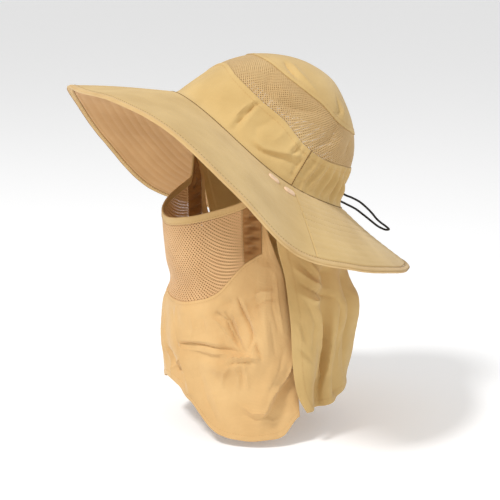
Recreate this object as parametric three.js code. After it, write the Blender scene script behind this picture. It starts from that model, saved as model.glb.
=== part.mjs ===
// A wide-brimmed sun hat with a hanging neck flap and a loose face and neck cover, in its worn form.
// Lengths are millimetres. +Z is up, the front looks along -Y and +X is the wearer's left.
// The origin is the middle of the head opening, where the hat is worn.
// The hat leans back by HAT_LEAN in a group of its own. The flap and the cover hang plumb below it.

import * as THREE from "three";

// Driving sizes of the hat
const HEAD_LENGTH = 208;
const HEAD_WIDTH = 172;
const CROWN_HEIGHT = 111;
const BRIM_WIDTH = 105;
const RING_SADDLE = 9.3;
const SADDLE_FADE = 1.5;
const HAT_LEAN = 35.34;
const SIDE_SEAM = 98;

// Driving sizes of the hanging cloth
const FLAP_DROP = 231;
const FLAP_FOLD_DEPTH = 9;
const COVER_DROP = 255;
const COVER_EDGE_STRIP = 7.3;
const COVER_FOLD_DEPTH = 5;
const FOLD_WIDTH = 11;
const MESH_SIDE = 64;
const STRAP_FRONT = 76;
const COVER_REAR = 97;
const HOLD_START = 66;
const COVER_ROOT = 3;
const COVER_FLARE = 34;
const FLAP_ROOT = 8;
const FLAP_BLEND = 0.3;

// Walls, and the clearance between two sewn pieces
const CLOTH_WALL = 1.2;
const NET_WALL = 1.4;
const BRIM_UPPER_WALL = 1.1;
const BRIM_UNDER_WALL = 1.3;
const BINDING_WIDTH = 6.5;
const BINDING_PROUD = 0.35;
const GAP = 0.3;
const STRIP_CLEARANCE = 0.5;

// Small pieces
const TACK_LENGTH = 13;
const TACK_WIDTH = 7.5;
const TACK_WALL = 1.2;
const OUTLET_LENGTH = 17;
const OUTLET_WIDTH = 12;
const OUTLET_PLACE = 0.085;
const OUTLET_LIFT = 1.2;
const OVAL_SIDES = 14;
const OVAL_ROWS = 2;
const OVAL_POWER = 0.7;
const CORD_DIAMETER = 2.2;
const CORD_SIDES = 8;
const CORD_STEPS = 32;
const GATHER_COUNT = 10;
const GATHER_DEPTH = 2.2;
const PUCKER_PITCH = 11;
const PUCKER_DEPTH = 1.4;
const GUSSET_RECESS = 2.5;
const GUSSET_FADE = 0.15;

// Columns and rows of the surface grids
const FRONT_COLUMNS = 28;
const BACK_COLUMNS = 22;
const GATHER_COLUMNS = 40;
const BRIM_ROWS = 5;
const CROWN_ROWS = 4;
const BAND_ROWS = 2;
const FLAP_COLUMNS = 28;
const FLAP_ROWS = 11;
const NET_COLUMNS = 24;
const NET_ROWS = 6;
const GUSSET_COLUMNS = 4;
const GUSSET_ROWS = 9;
const STRAP_COLUMNS = 4;
const SKIRT_ROWS = 11;

// The crown by section, from the head opening (at 0) to the tip (at 1).
// rise is a share of CROWN_HEIGHT, length and centre of half HEAD_LENGTH, width of half HEAD_WIDTH.
const CROWN_SECTIONS = [
  { at: 0, rise: 0, length: 1, width: 1, centre: 0 },
  { at: 0.05, rise: 0.06, length: 0.935, width: 0.985, centre: 0.007 },
  { at: 0.172, rise: 0.238, length: 0.87, width: 0.96, centre: 0.018 },
  { at: 0.295, rise: 0.43, length: 0.796, width: 0.92, centre: 0.028 },
  { at: 0.419, rise: 0.58, length: 0.713, width: 0.86, centre: 0.034 },
  { at: 0.551, rise: 0.727, length: 0.581, width: 0.745, centre: 0.034 },
  { at: 0.7, rise: 0.856, length: 0.404, width: 0.56, centre: 0.041 },
  { at: 0.842, rise: 0.952, length: 0.216, width: 0.32, centre: 0.07 },
  { at: 1, rise: 1, length: 0, width: 0, centre: 0.13 },
];

// The net band's lower and upper edges by angle from the front, as places on the crown.
const BAND_EDGES = [
  { angle: 0, foot: 0.36, head: 0.55 },
  { angle: 22, foot: 0.3, head: 0.545 },
  { angle: 45, foot: 0.27, head: 0.52 },
  { angle: 67, foot: 0.267, head: 0.515 },
  { angle: 90, foot: 0.232, head: 0.51 },
  { angle: 112, foot: 0.223, head: 0.47 },
  { angle: 135, foot: 0.24, head: 0.465 },
  { angle: 180, foot: 0.27, head: 0.48 },
];

// The brim by angle from the front. reach, drop and bow are shares of BRIM_WIDTH: how far the edge lies out
// from and below the head opening, and how far the middle stands above a straight line between them.
const BRIM_SECTIONS = [
  { angle: 0, reach: 0.726, drop: 0.375, bow: 0.025 },
  { angle: 22.5, reach: 0.816, drop: 0.341, bow: 0.025 },
  { angle: 45, reach: 1.002, drop: 0.348, bow: 0.025 },
  { angle: 67.5, reach: 1.058, drop: 0.492, bow: 0.02 },
  { angle: 90, reach: 0.994, drop: 0.63, bow: 0.015 },
  { angle: 112.5, reach: 0.913, drop: 0.441, bow: 0 },
  { angle: 135, reach: 0.831, drop: 0.236, bow: -0.005 },
  { angle: 157.5, reach: 0.829, drop: 0.083, bow: -0.015 },
  { angle: 180, reach: 0.931, drop: -0.031, bow: -0.015 },
];

// The small oval tacks on each side of the brim, by angle and by millimetres out from the head opening.
const TACKS = [
  { place: "front", angle: 82.5, inset: 12.5 },
  { place: "rear", angle: 93.5, inset: 14.5 },
];

// The flap by level. drop is a share of FLAP_DROP, side of half HEAD_WIDTH and back of half HEAD_LENGTH.
// edge is the angle of the flap's front edge.
const FLAP_SECTIONS = [
  { drop: 0, side: 1.02, back: 0.86, edge: 84 },
  { drop: 0.28, side: 0.99, back: 0.83, edge: 84 },
  { drop: 0.42, side: 1.01, back: 0.87, edge: 88.5 },
  { drop: 0.52, side: 1.047, back: 0.93, edge: 90 },
  { drop: 0.61, side: 1.066, back: 1.025, edge: 91 },
  { drop: 0.76, side: 1.08, back: 0.96, edge: 92 },
  { drop: 0.87, side: 1.093, back: 0.92, edge: 93.5 },
  { drop: 0.935, side: 1.11, back: 0.915, edge: 95.5 },
  { drop: 1, side: 1.14, back: 0.905, edge: 100 },
];

// The flap's hem by angle. drop is a share of FLAP_DROP.
const FLAP_HEM = [
  { angle: 84, drop: 0.995 },
  { angle: 100, drop: 1 },
  { angle: 116, drop: 0.992 },
  { angle: 140, drop: 0.972 },
  { angle: 164, drop: 0.963 },
  { angle: 180, drop: 0.96 },
];

// The cover by level. drop is a share of COVER_DROP, side of half HEAD_WIDTH and front of half HEAD_LENGTH.
// rear is the angle of the cover's rear edge.
const COVER_SECTIONS = [
  { drop: 0, side: 0.95, front: 0.83, rear: 79 },
  { drop: 0.2, side: 0.93, front: 0.832, rear: 79 },
  { drop: 0.3, side: 0.94, front: 0.818, rear: 84 },
  { drop: 0.385, side: 0.953, front: 0.787, rear: 89 },
  { drop: 0.46, side: 0.97, front: 0.75, rear: 91 },
  { drop: 0.55, side: 1, front: 0.791, rear: 93 },
  { drop: 0.695, side: 1.03, front: 0.81, rear: 94.5 },
  { drop: 0.85, side: 1.06, front: 0.785, rear: 95.5 },
  { drop: 1, side: 1.12, front: 0.8, rear: 95 },
];

// The cover's upper edge and the lower edge of its net and gussets, by angle. drop is a share of COVER_DROP.
const COVER_TOP = [
  { angle: 0, drop: 0.196 },
  { angle: 26, drop: 0.176 },
  { angle: 43, drop: 0.15 },
  { angle: 61, drop: 0.115 },
  { angle: 76, drop: 0.075 },
  { angle: 97, drop: 0.05 },
];
const NET_FOOT = [
  { angle: 0, drop: 0.512 },
  { angle: 15, drop: 0.507 },
  { angle: 25, drop: 0.494 },
  { angle: 35, drop: 0.476 },
  { angle: 43, drop: 0.451 },
  { angle: 50, drop: 0.416 },
  { angle: 57, drop: 0.376 },
  { angle: 64, drop: 0.338 },
  { angle: 70, drop: 0.318 },
  { angle: 76, drop: 0.302 },
];

// The cover's hem by angle, from the right rear corner to the left one. drop is a share of COVER_DROP.
const COVER_HEM = [
  { angle: -97, drop: 0.845 },
  { angle: -70, drop: 0.895 },
  { angle: -40, drop: 0.887 },
  { angle: -15, drop: 0.84 },
  { angle: 0, drop: 0.84 },
  { angle: 20, drop: 0.875 },
  { angle: 40, drop: 0.976 },
  { angle: 60, drop: 1 },
  { angle: 75, drop: 0.996 },
  { angle: 87, drop: 0.984 },
  { angle: 97, drop: 0.92 },
];

// Folds as lines on the hanging cloth. The ends are angles and shares of the piece's drop.
// width is a share of FOLD_WIDTH and depth of the piece's fold depth: above 0 a valley, below 0 a ridge.
const COVER_FOLDS = [
  { name: "front ridge", angleA: 17, dropA: 0.55, angleB: 19, dropB: 0.84, width: 1, depth: -0.7 },
  { name: "front pocket", angleA: -4, dropA: 0.76, angleB: 10, dropB: 0.8, width: 1.1, depth: 1.1 },
  { name: "chin crease", angleA: 14, dropA: 0.67, angleB: 45, dropB: 0.7, width: 0.6, depth: 0.7 },
  { name: "cheek fold", angleA: 44, dropA: 0.55, angleB: 54, dropB: 0.68, width: 0.7, depth: 0.9 },
  { name: "jaw fold", angleA: 51, dropA: 0.5, angleB: 58, dropB: 0.62, width: 0.7, depth: 0.9 },
  { name: "gathering ridge", angleA: 46, dropA: 0.73, angleB: 58, dropB: 0.7, width: 0.7, depth: -0.7 },
  { name: "side ridge", angleA: 84, dropA: 0.74, angleB: 70, dropB: 0.9, width: 0.8, depth: -0.9 },
  { name: "side hollow", angleA: 89, dropA: 0.8, angleB: 84, dropB: 0.92, width: 1.2, depth: 1 },
  { name: "neck hollow", angleA: 76, dropA: 0.34, angleB: 62, dropB: 0.56, width: 1.3, depth: 0.9 },
  { name: "neck ridge", angleA: 79, dropA: 0.36, angleB: 72, dropB: 0.7, width: 1.1, depth: -0.8 },
  { name: "right fold", angleA: -46, dropA: 0.56, angleB: -58, dropB: 0.85, width: 1.2, depth: 1 },
  { name: "right ridge", angleA: -24, dropA: 0.56, angleB: -30, dropB: 0.84, width: 1.2, depth: -0.7 },
];
const FLAP_FOLDS = [
  { name: "left valley", angleA: 122, dropA: 0.45, angleB: 112, dropB: 1, width: 0.9, depth: 1 },
  { name: "left lobe", angleA: 104, dropA: 0.5, angleB: 103, dropB: 1, width: 1, depth: -0.4 },
  { name: "rear left valley", angleA: 146, dropA: 0.5, angleB: 132, dropB: 0.95, width: 0.9, depth: 0.7 },
  { name: "rear lobe", angleA: 160, dropA: 0.5, angleB: 158, dropB: 0.85, width: 1.1, depth: -0.3 },
  { name: "rear valley", angleA: 184, dropA: 0.5, angleB: 178, dropB: 1, width: 1.1, depth: 0.7 },
  { name: "rear right valley", angleA: 214, dropA: 0.5, angleB: 222, dropB: 1, width: 1, depth: 0.8 },
  { name: "right valley", angleA: 240, dropA: 0.45, angleB: 248, dropB: 1, width: 0.9, depth: 1 },
  { name: "right lobe", angleA: 256, dropA: 0.5, angleB: 257, dropB: 1, width: 1, depth: -0.4 },
];

// The loose loop of elastic cord, out of the outlet patch and back into it.
const CORD_ROUTE = [
  [5, 94.8, -37.8], [5.2, 97.6, -39], [6, 101.4, -41.2], [6, 107.7, -43.8], [6, 116.7, -48.8],
  [5.5, 125, -55.6], [5, 131, -61.4], [5, 136, -67.2], [5, 141, -71.6], [4.9, 146, -75.2],
  [3.6, 150.6, -78.6], [0, 152.8, -80.6], [-3.6, 151, -81.2], [-4.9, 146.4, -79.2], [-5, 141.2, -76],
  [-5, 132.9, -69.4], [-5, 124.2, -62.6], [-5, 116.7, -57.2], [-5, 105.4, -51.2], [-5, 99.4, -48],
  [-5, 95.9, -44.6], [-5, 93.4, -42.7],
].map(([x, y, z]) => new THREE.Vector3(x, y, z));

const HALF_LENGTH = HEAD_LENGTH / 2;
const HALF_WIDTH = HEAD_WIDTH / 2;
const UPPER_FROM = GAP / 2;
const UPPER_TO = UPPER_FROM + BRIM_UPPER_WALL;
const UNDER_FROM = -GAP / 2;
const UNDER_TO = UNDER_FROM - BRIM_UNDER_WALL;
const SURFACE_STEP = 0.01;

const rad = THREE.MathUtils.degToRad;
const mix = THREE.MathUtils.lerp;
const ramp = THREE.MathUtils.smoothstep;

// A table's column read at a place between its rows, on a smooth curve through them.
// A table by angle is level at its ends, so that both sides of the part meet smoothly.
function read(table, key, column, place) {
  const last = table.length - 1;
  const at = THREE.MathUtils.clamp(place, table[0][key], table[last][key]);
  let row = 0;
  while (row < last - 1 && table[row + 1][key] < at) row += 1;
  const slope = (index) => {
    if (key === "angle" && (index === 0 || index === last)) return 0;
    const before = table[Math.max(index - 1, 0)];
    const after = table[Math.min(index + 1, last)];
    return (after[column] - before[column]) / (after[key] - before[key]);
  };
  const [a, b] = [table[row], table[row + 1]];
  const span = b[key] - a[key];
  const t = (at - a[key]) / span;
  const [t2, t3] = [t * t, t * t * t];
  return (
    (2 * t3 - 3 * t2 + 1) * a[column] +
    (t3 - 2 * t2 + t) * span * slope(row) +
    (3 * t2 - 2 * t3) * b[column] +
    (t3 - t2) * span * slope(row + 1)
  );
}

// Whole numbers of equal steps from one value to another, both ends included.
function steps(from, to, count) {
  return Array.from({ length: count + 1 }, (_, index) => mix(from, to, index / count));
}

// Degrees from the front, from 0 to 180 on both sides.
function sideAngle(angle) {
  const turn = ((angle % 360) + 360) % 360;
  return Math.min(turn, 360 - turn);
}

// A closed thin shell on a surface. outer and inner are its faces' heights along the surface's normal.
// closed joins the last column to the first, and pole gathers the last row into one point.
function sheetGeometry({ surface, columns, rows, outer, inner, closed = false, pole = false, flip = false }) {
  const across = columns.length;
  const along = rows.length;
  const facing = flip ? -1 : 1;
  const positions = [];
  const triangles = [];

  const normalAt = (column, row) => {
    const low = Math.max(row - SURFACE_STEP, 0);
    const high = Math.min(row + SURFACE_STEP, 1);
    const u = surface(column + SURFACE_STEP, row).sub(surface(column - SURFACE_STEP, row));
    const v = surface(column, high).sub(surface(column, low));
    return u.cross(v).multiplyScalar(facing).normalize();
  };
  const poleNormal = () => {
    const sum = new THREE.Vector3();
    for (const column of columns) sum.add(normalAt(column, 1 - SURFACE_STEP));
    return sum.normalize();
  };
  const addFace = (height) => {
    const first = positions.length / 3;
    rows.forEach((row, j) => {
      const single = pole && j === along - 1;
      for (const column of single ? [columns[0]] : columns) {
        const normal = single ? poleNormal() : normalAt(column, row);
        const point = surface(column, row).addScaledVector(normal, height);
        positions.push(point.x, point.y, point.z);
      }
    });
    return (i, j) => first + j * across + (pole && j === along - 1 ? 0 : i % across);
  };
  const addTriangle = (a, b, c) => {
    if (a === b || b === c || c === a) return;
    triangles.push(...(flip ? [a, c, b] : [a, b, c]));
  };
  const addQuad = (a, b, c, d) => {
    addTriangle(a, b, c);
    addTriangle(a, c, d);
  };

  const top = addFace(outer);
  const base = addFace(inner);
  const cells = closed ? across : across - 1;
  for (let i = 0; i < cells; i += 1) {
    for (let j = 0; j < along - 1; j += 1) {
      addQuad(top(i, j), top(i + 1, j), top(i + 1, j + 1), top(i, j + 1));
      addQuad(base(i, j), base(i, j + 1), base(i + 1, j + 1), base(i + 1, j));
    }
    addQuad(base(i, 0), base(i + 1, 0), top(i + 1, 0), top(i, 0));
    if (!pole) {
      const j = along - 1;
      addQuad(top(i, j), top(i + 1, j), base(i + 1, j), base(i, j));
    }
  }
  if (!closed) {
    for (let j = 0; j < along - 1; j += 1) {
      const i = across - 1;
      addQuad(base(0, j + 1), base(0, j), top(0, j), top(0, j + 1));
      addQuad(base(i, j), base(i, j + 1), top(i, j + 1), top(i, j));
    }
  }
  const geometry = new THREE.BufferGeometry();
  geometry.setAttribute("position", new THREE.Float32BufferAttribute(positions, 3));
  geometry.setIndex(triangles);
  geometry.computeVertexNormals();
  return geometry;
}

// How deep the folds of a table lie at an angle and a drop share, in shares of the fold depth.
function foldDepth(folds, angle, drop, fullDrop) {
  const perDegree = rad(1) * HALF_WIDTH;
  let depth = 0;
  for (const fold of folds) {
    const flat = (a, d) => new THREE.Vector2((a - fold.angleA) * perDegree, (d - fold.dropA) * fullDrop);
    const along = flat(fold.angleB, fold.dropB);
    const here = flat(angle, drop);
    const share = here.dot(along) / along.lengthSq();
    const away = here.addScaledVector(along, -THREE.MathUtils.clamp(share, 0, 1)).length();
    depth += fold.depth * Math.exp(-((away / (fold.width * FOLD_WIDTH)) ** 2));
  }
  return depth;
}

// The head opening, in the hat's own frame
function ringRadius(angle) {
  const across = Math.sin(rad(angle)) / HALF_WIDTH;
  const along = Math.cos(rad(angle)) / HALF_LENGTH;
  return 1 / Math.hypot(across, along);
}

function ringLift(angle) {
  return RING_SADDLE * Math.cos(rad(2 * angle));
}

function crownPoint(angle, at) {
  const section = (column) => read(CROWN_SECTIONS, "at", column, at);
  const reach = ringRadius(angle);
  return new THREE.Vector3(
    section("width") * reach * Math.sin(rad(angle)),
    section("centre") * HALF_LENGTH - section("length") * reach * Math.cos(rad(angle)),
    section("rise") * CROWN_HEIGHT + ringLift(angle) * (1 - at) ** SADDLE_FADE,
  );
}

function brimReach(angle) {
  return read(BRIM_SECTIONS, "angle", "reach", sideAngle(angle)) * BRIM_WIDTH;
}

// A point of the brim, inset millimetres out from the head opening.
function brimPoint(angle, inset) {
  const reach = brimReach(angle);
  const share = inset / reach;
  const radius = ringRadius(angle) + inset;
  const edge = -read(BRIM_SECTIONS, "angle", "drop", sideAngle(angle)) * BRIM_WIDTH;
  const bow = read(BRIM_SECTIONS, "angle", "bow", sideAngle(angle)) * BRIM_WIDTH;
  return new THREE.Vector3(
    radius * Math.sin(rad(angle)),
    -radius * Math.cos(rad(angle)),
    mix(ringLift(angle), edge, share) + bow * Math.sin(Math.PI * THREE.MathUtils.clamp(share, 0, 1)),
  );
}

function bandFoot(angle) {
  return read(BAND_EDGES, "angle", "foot", sideAngle(angle));
}

function bandHead(angle) {
  return read(BAND_EDGES, "angle", "head", sideAngle(angle));
}

// Half a seam's clearance as a share of the crown's profile, and as an angle at the head opening.
const SEAM_SHARE = GAP / 2 / Math.hypot(CROWN_HEIGHT, HALF_LENGTH);
const SEAM_ANGLE = THREE.MathUtils.radToDeg(GAP / 2 / HALF_WIDTH);
// The crown starts above the brim's upper face by this share of its profile.
const CROWN_START = (UPPER_TO + GAP + CLOTH_WALL) / Math.hypot(CROWN_HEIGHT, HALF_LENGTH);

function crownBand(footAt, headAt) {
  return (angle, row) => crownPoint(angle, mix(footAt(angle), headAt(angle), row));
}

const wallSurface = crownBand(
  () => CROWN_START,
  (angle) => bandFoot(angle) - SEAM_SHARE,
);

// The rear wall is gathered onto the cord's casing: valleys that fade towards its seams.
function gatheredSurface(angle, row) {
  const point = wallSurface(angle, row);
  const share = (angle - SIDE_SEAM) / (360 - 2 * SIDE_SEAM);
  const wave = 0.5 - 0.5 * Math.cos(2 * Math.PI * GATHER_COUNT * share);
  const fade = Math.sin(Math.PI * row) * Math.sin(Math.PI * THREE.MathUtils.clamp(share, 0, 1));
  const inward = new THREE.Vector3(-Math.sin(rad(angle)), Math.cos(rad(angle)), 0);
  return point.addScaledVector(inward, GATHER_DEPTH * wave * fade);
}

const frontAngles = steps(-SIDE_SEAM + SEAM_ANGLE, SIDE_SEAM - SEAM_ANGLE, FRONT_COLUMNS);
const backAngles = (count) => steps(SIDE_SEAM + SEAM_ANGLE, 360 - SIDE_SEAM - SEAM_ANGLE, count);
const allAngles = [
  ...steps(-SIDE_SEAM, SIDE_SEAM, FRONT_COLUMNS).slice(0, -1),
  ...steps(SIDE_SEAM, 360 - SIDE_SEAM, BACK_COLUMNS).slice(0, -1),
];
const crownSides = { outer: CLOTH_WALL / 2, inner: -CLOTH_WALL / 2 };
const netSides = { outer: NET_WALL / 2, inner: -NET_WALL / 2 };

function crownTip() {
  const surface = crownBand(
    (angle) => bandHead(angle) + SEAM_SHARE,
    () => 1,
  );
  const rows = steps(0, 1, CROWN_ROWS);
  return sheetGeometry({ surface, columns: allAngles, rows, ...crownSides, closed: true, pole: true });
}

function crownNetBand() {
  const surface = crownBand(
    (angle) => bandFoot(angle) + SEAM_SHARE,
    (angle) => bandHead(angle) - SEAM_SHARE,
  );
  const rows = steps(0, 1, BAND_ROWS);
  return sheetGeometry({ surface, columns: allAngles, rows, ...netSides, closed: true });
}

function crownFrontPanel() {
  const rows = steps(0, 1, CROWN_ROWS);
  return sheetGeometry({ surface: wallSurface, columns: frontAngles, rows, ...crownSides });
}

function crownBackPanel() {
  const rows = steps(0, 1, CROWN_ROWS);
  const columns = backAngles(GATHER_COLUMNS);
  return sheetGeometry({ surface: gatheredSurface, columns, rows, ...crownSides });
}

// A strip of the brim between two insets, each a function of the angle.
function brimSheet(from, to, options) {
  const surface = (angle, row) => brimPoint(angle, mix(from(angle), to(angle), row));
  return sheetGeometry({ surface, rows: steps(0, 1, BRIM_ROWS), flip: true, ...options });
}

const brimRoot = () => -CLOTH_WALL;
const brimSeam = (angle) => brimReach(angle) - BINDING_WIDTH;
const brimEdge = (angle) => brimReach(angle);

function brimUpper(columns) {
  return brimSheet(brimRoot, brimSeam, { columns, outer: UPPER_TO, inner: UPPER_FROM });
}

function brimUnder() {
  const sides = { outer: UNDER_FROM, inner: UNDER_TO };
  return brimSheet(brimRoot, brimSeam, { columns: allAngles, ...sides, closed: true });
}

function brimBinding() {
  return brimSheet((angle) => brimSeam(angle) + GAP, brimEdge, {
    columns: allAngles,
    rows: steps(0, 1, 1),
    outer: UPPER_TO + BINDING_PROUD,
    inner: UNDER_TO - BINDING_PROUD,
    closed: true,
  });
}

// An oval patch that lies on a surface, its long side along the surface's columns.
// floor and wall are its lower face's height and its thickness.
function ovalPatch({ surface, angle, place, length, width, floor, wall, flip = false }) {
  const reach = (du, dv) => surface(angle + du, place + dv).distanceTo(surface(angle - du, place - dv)) / 2;
  const perAngle = reach(SURFACE_STEP, 0) / SURFACE_STEP;
  const perPlace = reach(0, SURFACE_STEP) / SURFACE_STEP;
  const rounded = (value) => Math.sign(value) * Math.abs(value) ** OVAL_POWER;
  const patch = (turn, row) => {
    const across = (length / 2) * rounded(Math.cos(rad(turn))) * (1 - row);
    const along = (width / 2) * rounded(Math.sin(rad(turn))) * (1 - row);
    return surface(angle + across / perAngle, place + along / perPlace);
  };
  const columns = steps(0, 360, OVAL_SIDES).slice(0, -1);
  const rows = steps(0, 1, OVAL_ROWS);
  const sides = { outer: floor + wall, inner: floor };
  return sheetGeometry({ surface: patch, columns, rows, ...sides, closed: true, pole: true, flip });
}

function brimTack(angle, inset) {
  const size = { length: TACK_LENGTH, width: TACK_WIDTH, wall: TACK_WALL };
  return ovalPatch({ surface: brimPoint, angle, place: inset, ...size, floor: UPPER_TO + GAP, flip: true });
}

function cordOutlet() {
  const size = { length: OUTLET_LENGTH, width: OUTLET_WIDTH, wall: CLOTH_WALL };
  const floor = CLOTH_WALL / 2 + OUTLET_LIFT;
  return ovalPatch({ surface: crownPoint, angle: 180, place: OUTLET_PLACE, ...size, floor });
}

function drawcord() {
  const section = new THREE.Shape();
  for (let side = 0; side < CORD_SIDES; side += 1) {
    const turn = (2 * Math.PI * (side + 0.5)) / CORD_SIDES;
    section[side ? "lineTo" : "moveTo"](
      (CORD_DIAMETER / 2) * Math.cos(turn),
      (CORD_DIAMETER / 2) * Math.sin(turn),
    );
  }
  const path = new THREE.CatmullRomCurve3(CORD_ROUTE);
  return new THREE.ExtrudeGeometry(section, { steps: CORD_STEPS, extrudePath: path });
}

const LEAN_AXIS = new THREE.Vector3(1, 0, 0);

// The brim's underside at an inset from the head opening, in the part's own frame.
function underBrim(angle, inset, clearance) {
  const step = SURFACE_STEP;
  const u = brimPoint(angle + step, inset).sub(brimPoint(angle - step, inset));
  const v = brimPoint(angle, inset + step).sub(brimPoint(angle, inset - step));
  const below = u.cross(v).normalize();
  const point = brimPoint(angle, inset).addScaledVector(below, -UNDER_TO + clearance);
  return point.applyAxisAngle(LEAN_AXIS, -rad(HAT_LEAN));
}

const HANG_CLEARANCE = GAP + CLOTH_WALL / 2;

// A point of the flap: it starts under the brim and swings in to hang by its sections.
function flapPoint(share, row) {
  const rootAngle = mix(FLAP_SECTIONS[0].edge, 360 - FLAP_SECTIONS[0].edge, share);
  const root = underBrim(rootAngle, FLAP_ROOT, HANG_CLEARANCE);
  const hem = -read(FLAP_HEM, "angle", "drop", sideAngle(rootAngle)) * FLAP_DROP;
  const z = mix(root.z, hem, row);
  const drop = Math.max(-z / FLAP_DROP, 0);
  const section = (column) => read(FLAP_SECTIONS, "drop", column, drop);
  const angle = mix(section("edge"), 360 - section("edge"), share);
  const fold = foldDepth(FLAP_FOLDS, angle, drop, FLAP_DROP) * FLAP_FOLD_DEPTH;
  const hanging = new THREE.Vector3(
    (section("side") * HALF_WIDTH - fold) * Math.sin(rad(angle)),
    -(section("back") * HALF_LENGTH - fold) * Math.cos(rad(angle)),
    z,
  );
  return new THREE.Vector3(root.x, root.y, z).lerp(hanging, ramp(row, 0, FLAP_BLEND));
}

function neckFlap() {
  return sheetGeometry({
    surface: flapPoint,
    columns: steps(0, 1, FLAP_COLUMNS),
    rows: steps(0, 1, FLAP_ROWS),
    ...crownSides,
    flip: true,
  });
}

// A cover column's angle at a drop share. Behind the strap's front edge the columns close up to the rear.
function coverAngle(column, drop) {
  const side = Math.abs(column);
  const past = Math.max(side - STRAP_FRONT, 0) / (COVER_REAR - STRAP_FRONT);
  const rear = read(COVER_SECTIONS, "drop", "rear", drop);
  return Math.sign(column) * (Math.min(side, STRAP_FRONT) + past * (rear - STRAP_FRONT));
}

// The cover's upper edge: on the face it lies free, and at the ears it reaches the brim's underside.
function coverEdge(column) {
  const side = Math.abs(column);
  const root = underBrim(coverAngle(column, 0), COVER_ROOT, HANG_CLEARANCE);
  const free = -read(COVER_TOP, "angle", "drop", side) * COVER_DROP;
  return { root, hold: ramp(side, HOLD_START, STRAP_FRONT), free };
}

// A point of the cover, by column angle and millimetres below its upper edge.
function coverPoint(column, below) {
  const { root, hold, free } = coverEdge(column);
  const z = mix(free, root.z, hold) - below;
  const drop = Math.max(-z / COVER_DROP, 0);
  const section = (name) => read(COVER_SECTIONS, "drop", name, drop);
  const angle = coverAngle(column, drop);
  const fold = foldDepth(COVER_FOLDS, angle, drop, COVER_DROP) * COVER_FOLD_DEPTH;
  const point = new THREE.Vector3(
    (section("side") * HALF_WIDTH - fold) * Math.sin(rad(angle)),
    -(section("front") * HALF_LENGTH - fold) * Math.cos(rad(angle)),
    z,
  );
  return point.lerp(new THREE.Vector3(root.x, root.y, z), hold * (1 - ramp(below, 0, COVER_FLARE)));
}

// Millimetres from the cover's upper edge down to a level of the part.
function belowTop(column, level) {
  const { root, hold, free } = coverEdge(column);
  return mix(free, root.z, hold) - level;
}

function netFoot(column) {
  return belowTop(column, -read(NET_FOOT, "angle", "drop", Math.abs(column)) * COVER_DROP);
}

function coverHem(column) {
  return belowTop(column, -read(COVER_HEM, "angle", "drop", column) * COVER_DROP);
}

// A strip of the cover between two heights below its upper edge.
function coverSheet(from, to, columns, rows, sides, relief = () => 0) {
  const surface = (column, row) => {
    const point = coverPoint(column, mix(from(column), to(column), row));
    const inward = new THREE.Vector3(-point.x, -point.y, 0).normalize();
    return point.addScaledVector(inward, relief(column, row));
  };
  return sheetGeometry({ surface, columns, rows: steps(0, 1, rows), ...sides, flip: true });
}

const COVER_SEAM_ANGLE = THREE.MathUtils.radToDeg(GAP / 2 / (COVER_SECTIONS[1].side * HALF_WIDTH));
const stripFoot = () => COVER_EDGE_STRIP;
const bodyHead = () => COVER_EDGE_STRIP + STRIP_CLEARANCE;

// Pieces that meet share their columns: the net's, then each gusset's and each strap's.
const mirrored = (columns) => columns.map((angle) => -angle).reverse();
const netColumns = steps(-MESH_SIDE + COVER_SEAM_ANGLE, MESH_SIDE - COVER_SEAM_ANGLE, NET_COLUMNS);
const gussetColumns = steps(MESH_SIDE + COVER_SEAM_ANGLE, STRAP_FRONT - 3 * COVER_SEAM_ANGLE, GUSSET_COLUMNS);
const strapColumns = steps(STRAP_FRONT + COVER_SEAM_ANGLE, COVER_REAR, STRAP_COLUMNS);
const leftColumns = [...gussetColumns, ...strapColumns];
const coverColumns = [...mirrored(leftColumns), ...netColumns, ...leftColumns];
const besideStrap = STRAP_FRONT - COVER_SEAM_ANGLE;
const skirtColumns = [...coverColumns, -besideStrap, besideStrap].sort((a, b) => a - b);

function coverBinding() {
  return coverSheet(() => 0, stripFoot, coverColumns, 1, netSides);
}

function coverNet() {
  return coverSheet(bodyHead, netFoot, netColumns, NET_ROWS, netSides);
}

// The gusset in front of the ear is drawn in and puckered by its elastic.
function coverGusset(side) {
  const columns = side > 0 ? gussetColumns : mirrored(gussetColumns);
  const relief = (column, row) => {
    const across = (Math.abs(column) - MESH_SIDE) / (STRAP_FRONT - MESH_SIDE);
    const share = THREE.MathUtils.clamp(across, 0, 1);
    const below = mix(bodyHead(), netFoot(column), row);
    const pucker = Math.cos((2 * Math.PI * below) / PUCKER_PITCH);
    const fade = ramp(row, 0, GUSSET_FADE) * ramp(1 - row, 0, GUSSET_FADE);
    return Math.sin(Math.PI * share) * fade * (GUSSET_RECESS + PUCKER_DEPTH * pucker);
  };
  return coverSheet(bodyHead, netFoot, columns, GUSSET_ROWS, crownSides, relief);
}

// The skirt hangs below the net and the gussets, and climbs behind them as the ear straps.
function coverSkirt() {
  const head = (column) => (Math.abs(column) > STRAP_FRONT ? bodyHead() : netFoot(column) + STRIP_CLEARANCE);
  return coverSheet(head, coverHem, skirtColumns, SKIRT_ROWS, crownSides);
}

// Finishes
const cloth = new THREE.MeshStandardMaterial({ color: 0xd6b377, roughness: 0.9, metalness: 0 });
const lining = new THREE.MeshStandardMaterial({ color: 0xc49a66, roughness: 0.95, metalness: 0 });
const net = new THREE.MeshStandardMaterial({ color: 0xd2aa70, roughness: 0.95, metalness: 0 });
const edging = new THREE.MeshStandardMaterial({ color: 0xd9b57a, roughness: 0.85, metalness: 0 });
const coverCloth = new THREE.MeshStandardMaterial({ color: 0xdfbb7c, roughness: 0.85, metalness: 0 });
const thread = new THREE.MeshStandardMaterial({ color: 0xf4d3b0, roughness: 0.7, metalness: 0 });
const elastic = new THREE.MeshStandardMaterial({ color: 0x1c1b1e, roughness: 0.8, metalness: 0 });

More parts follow.
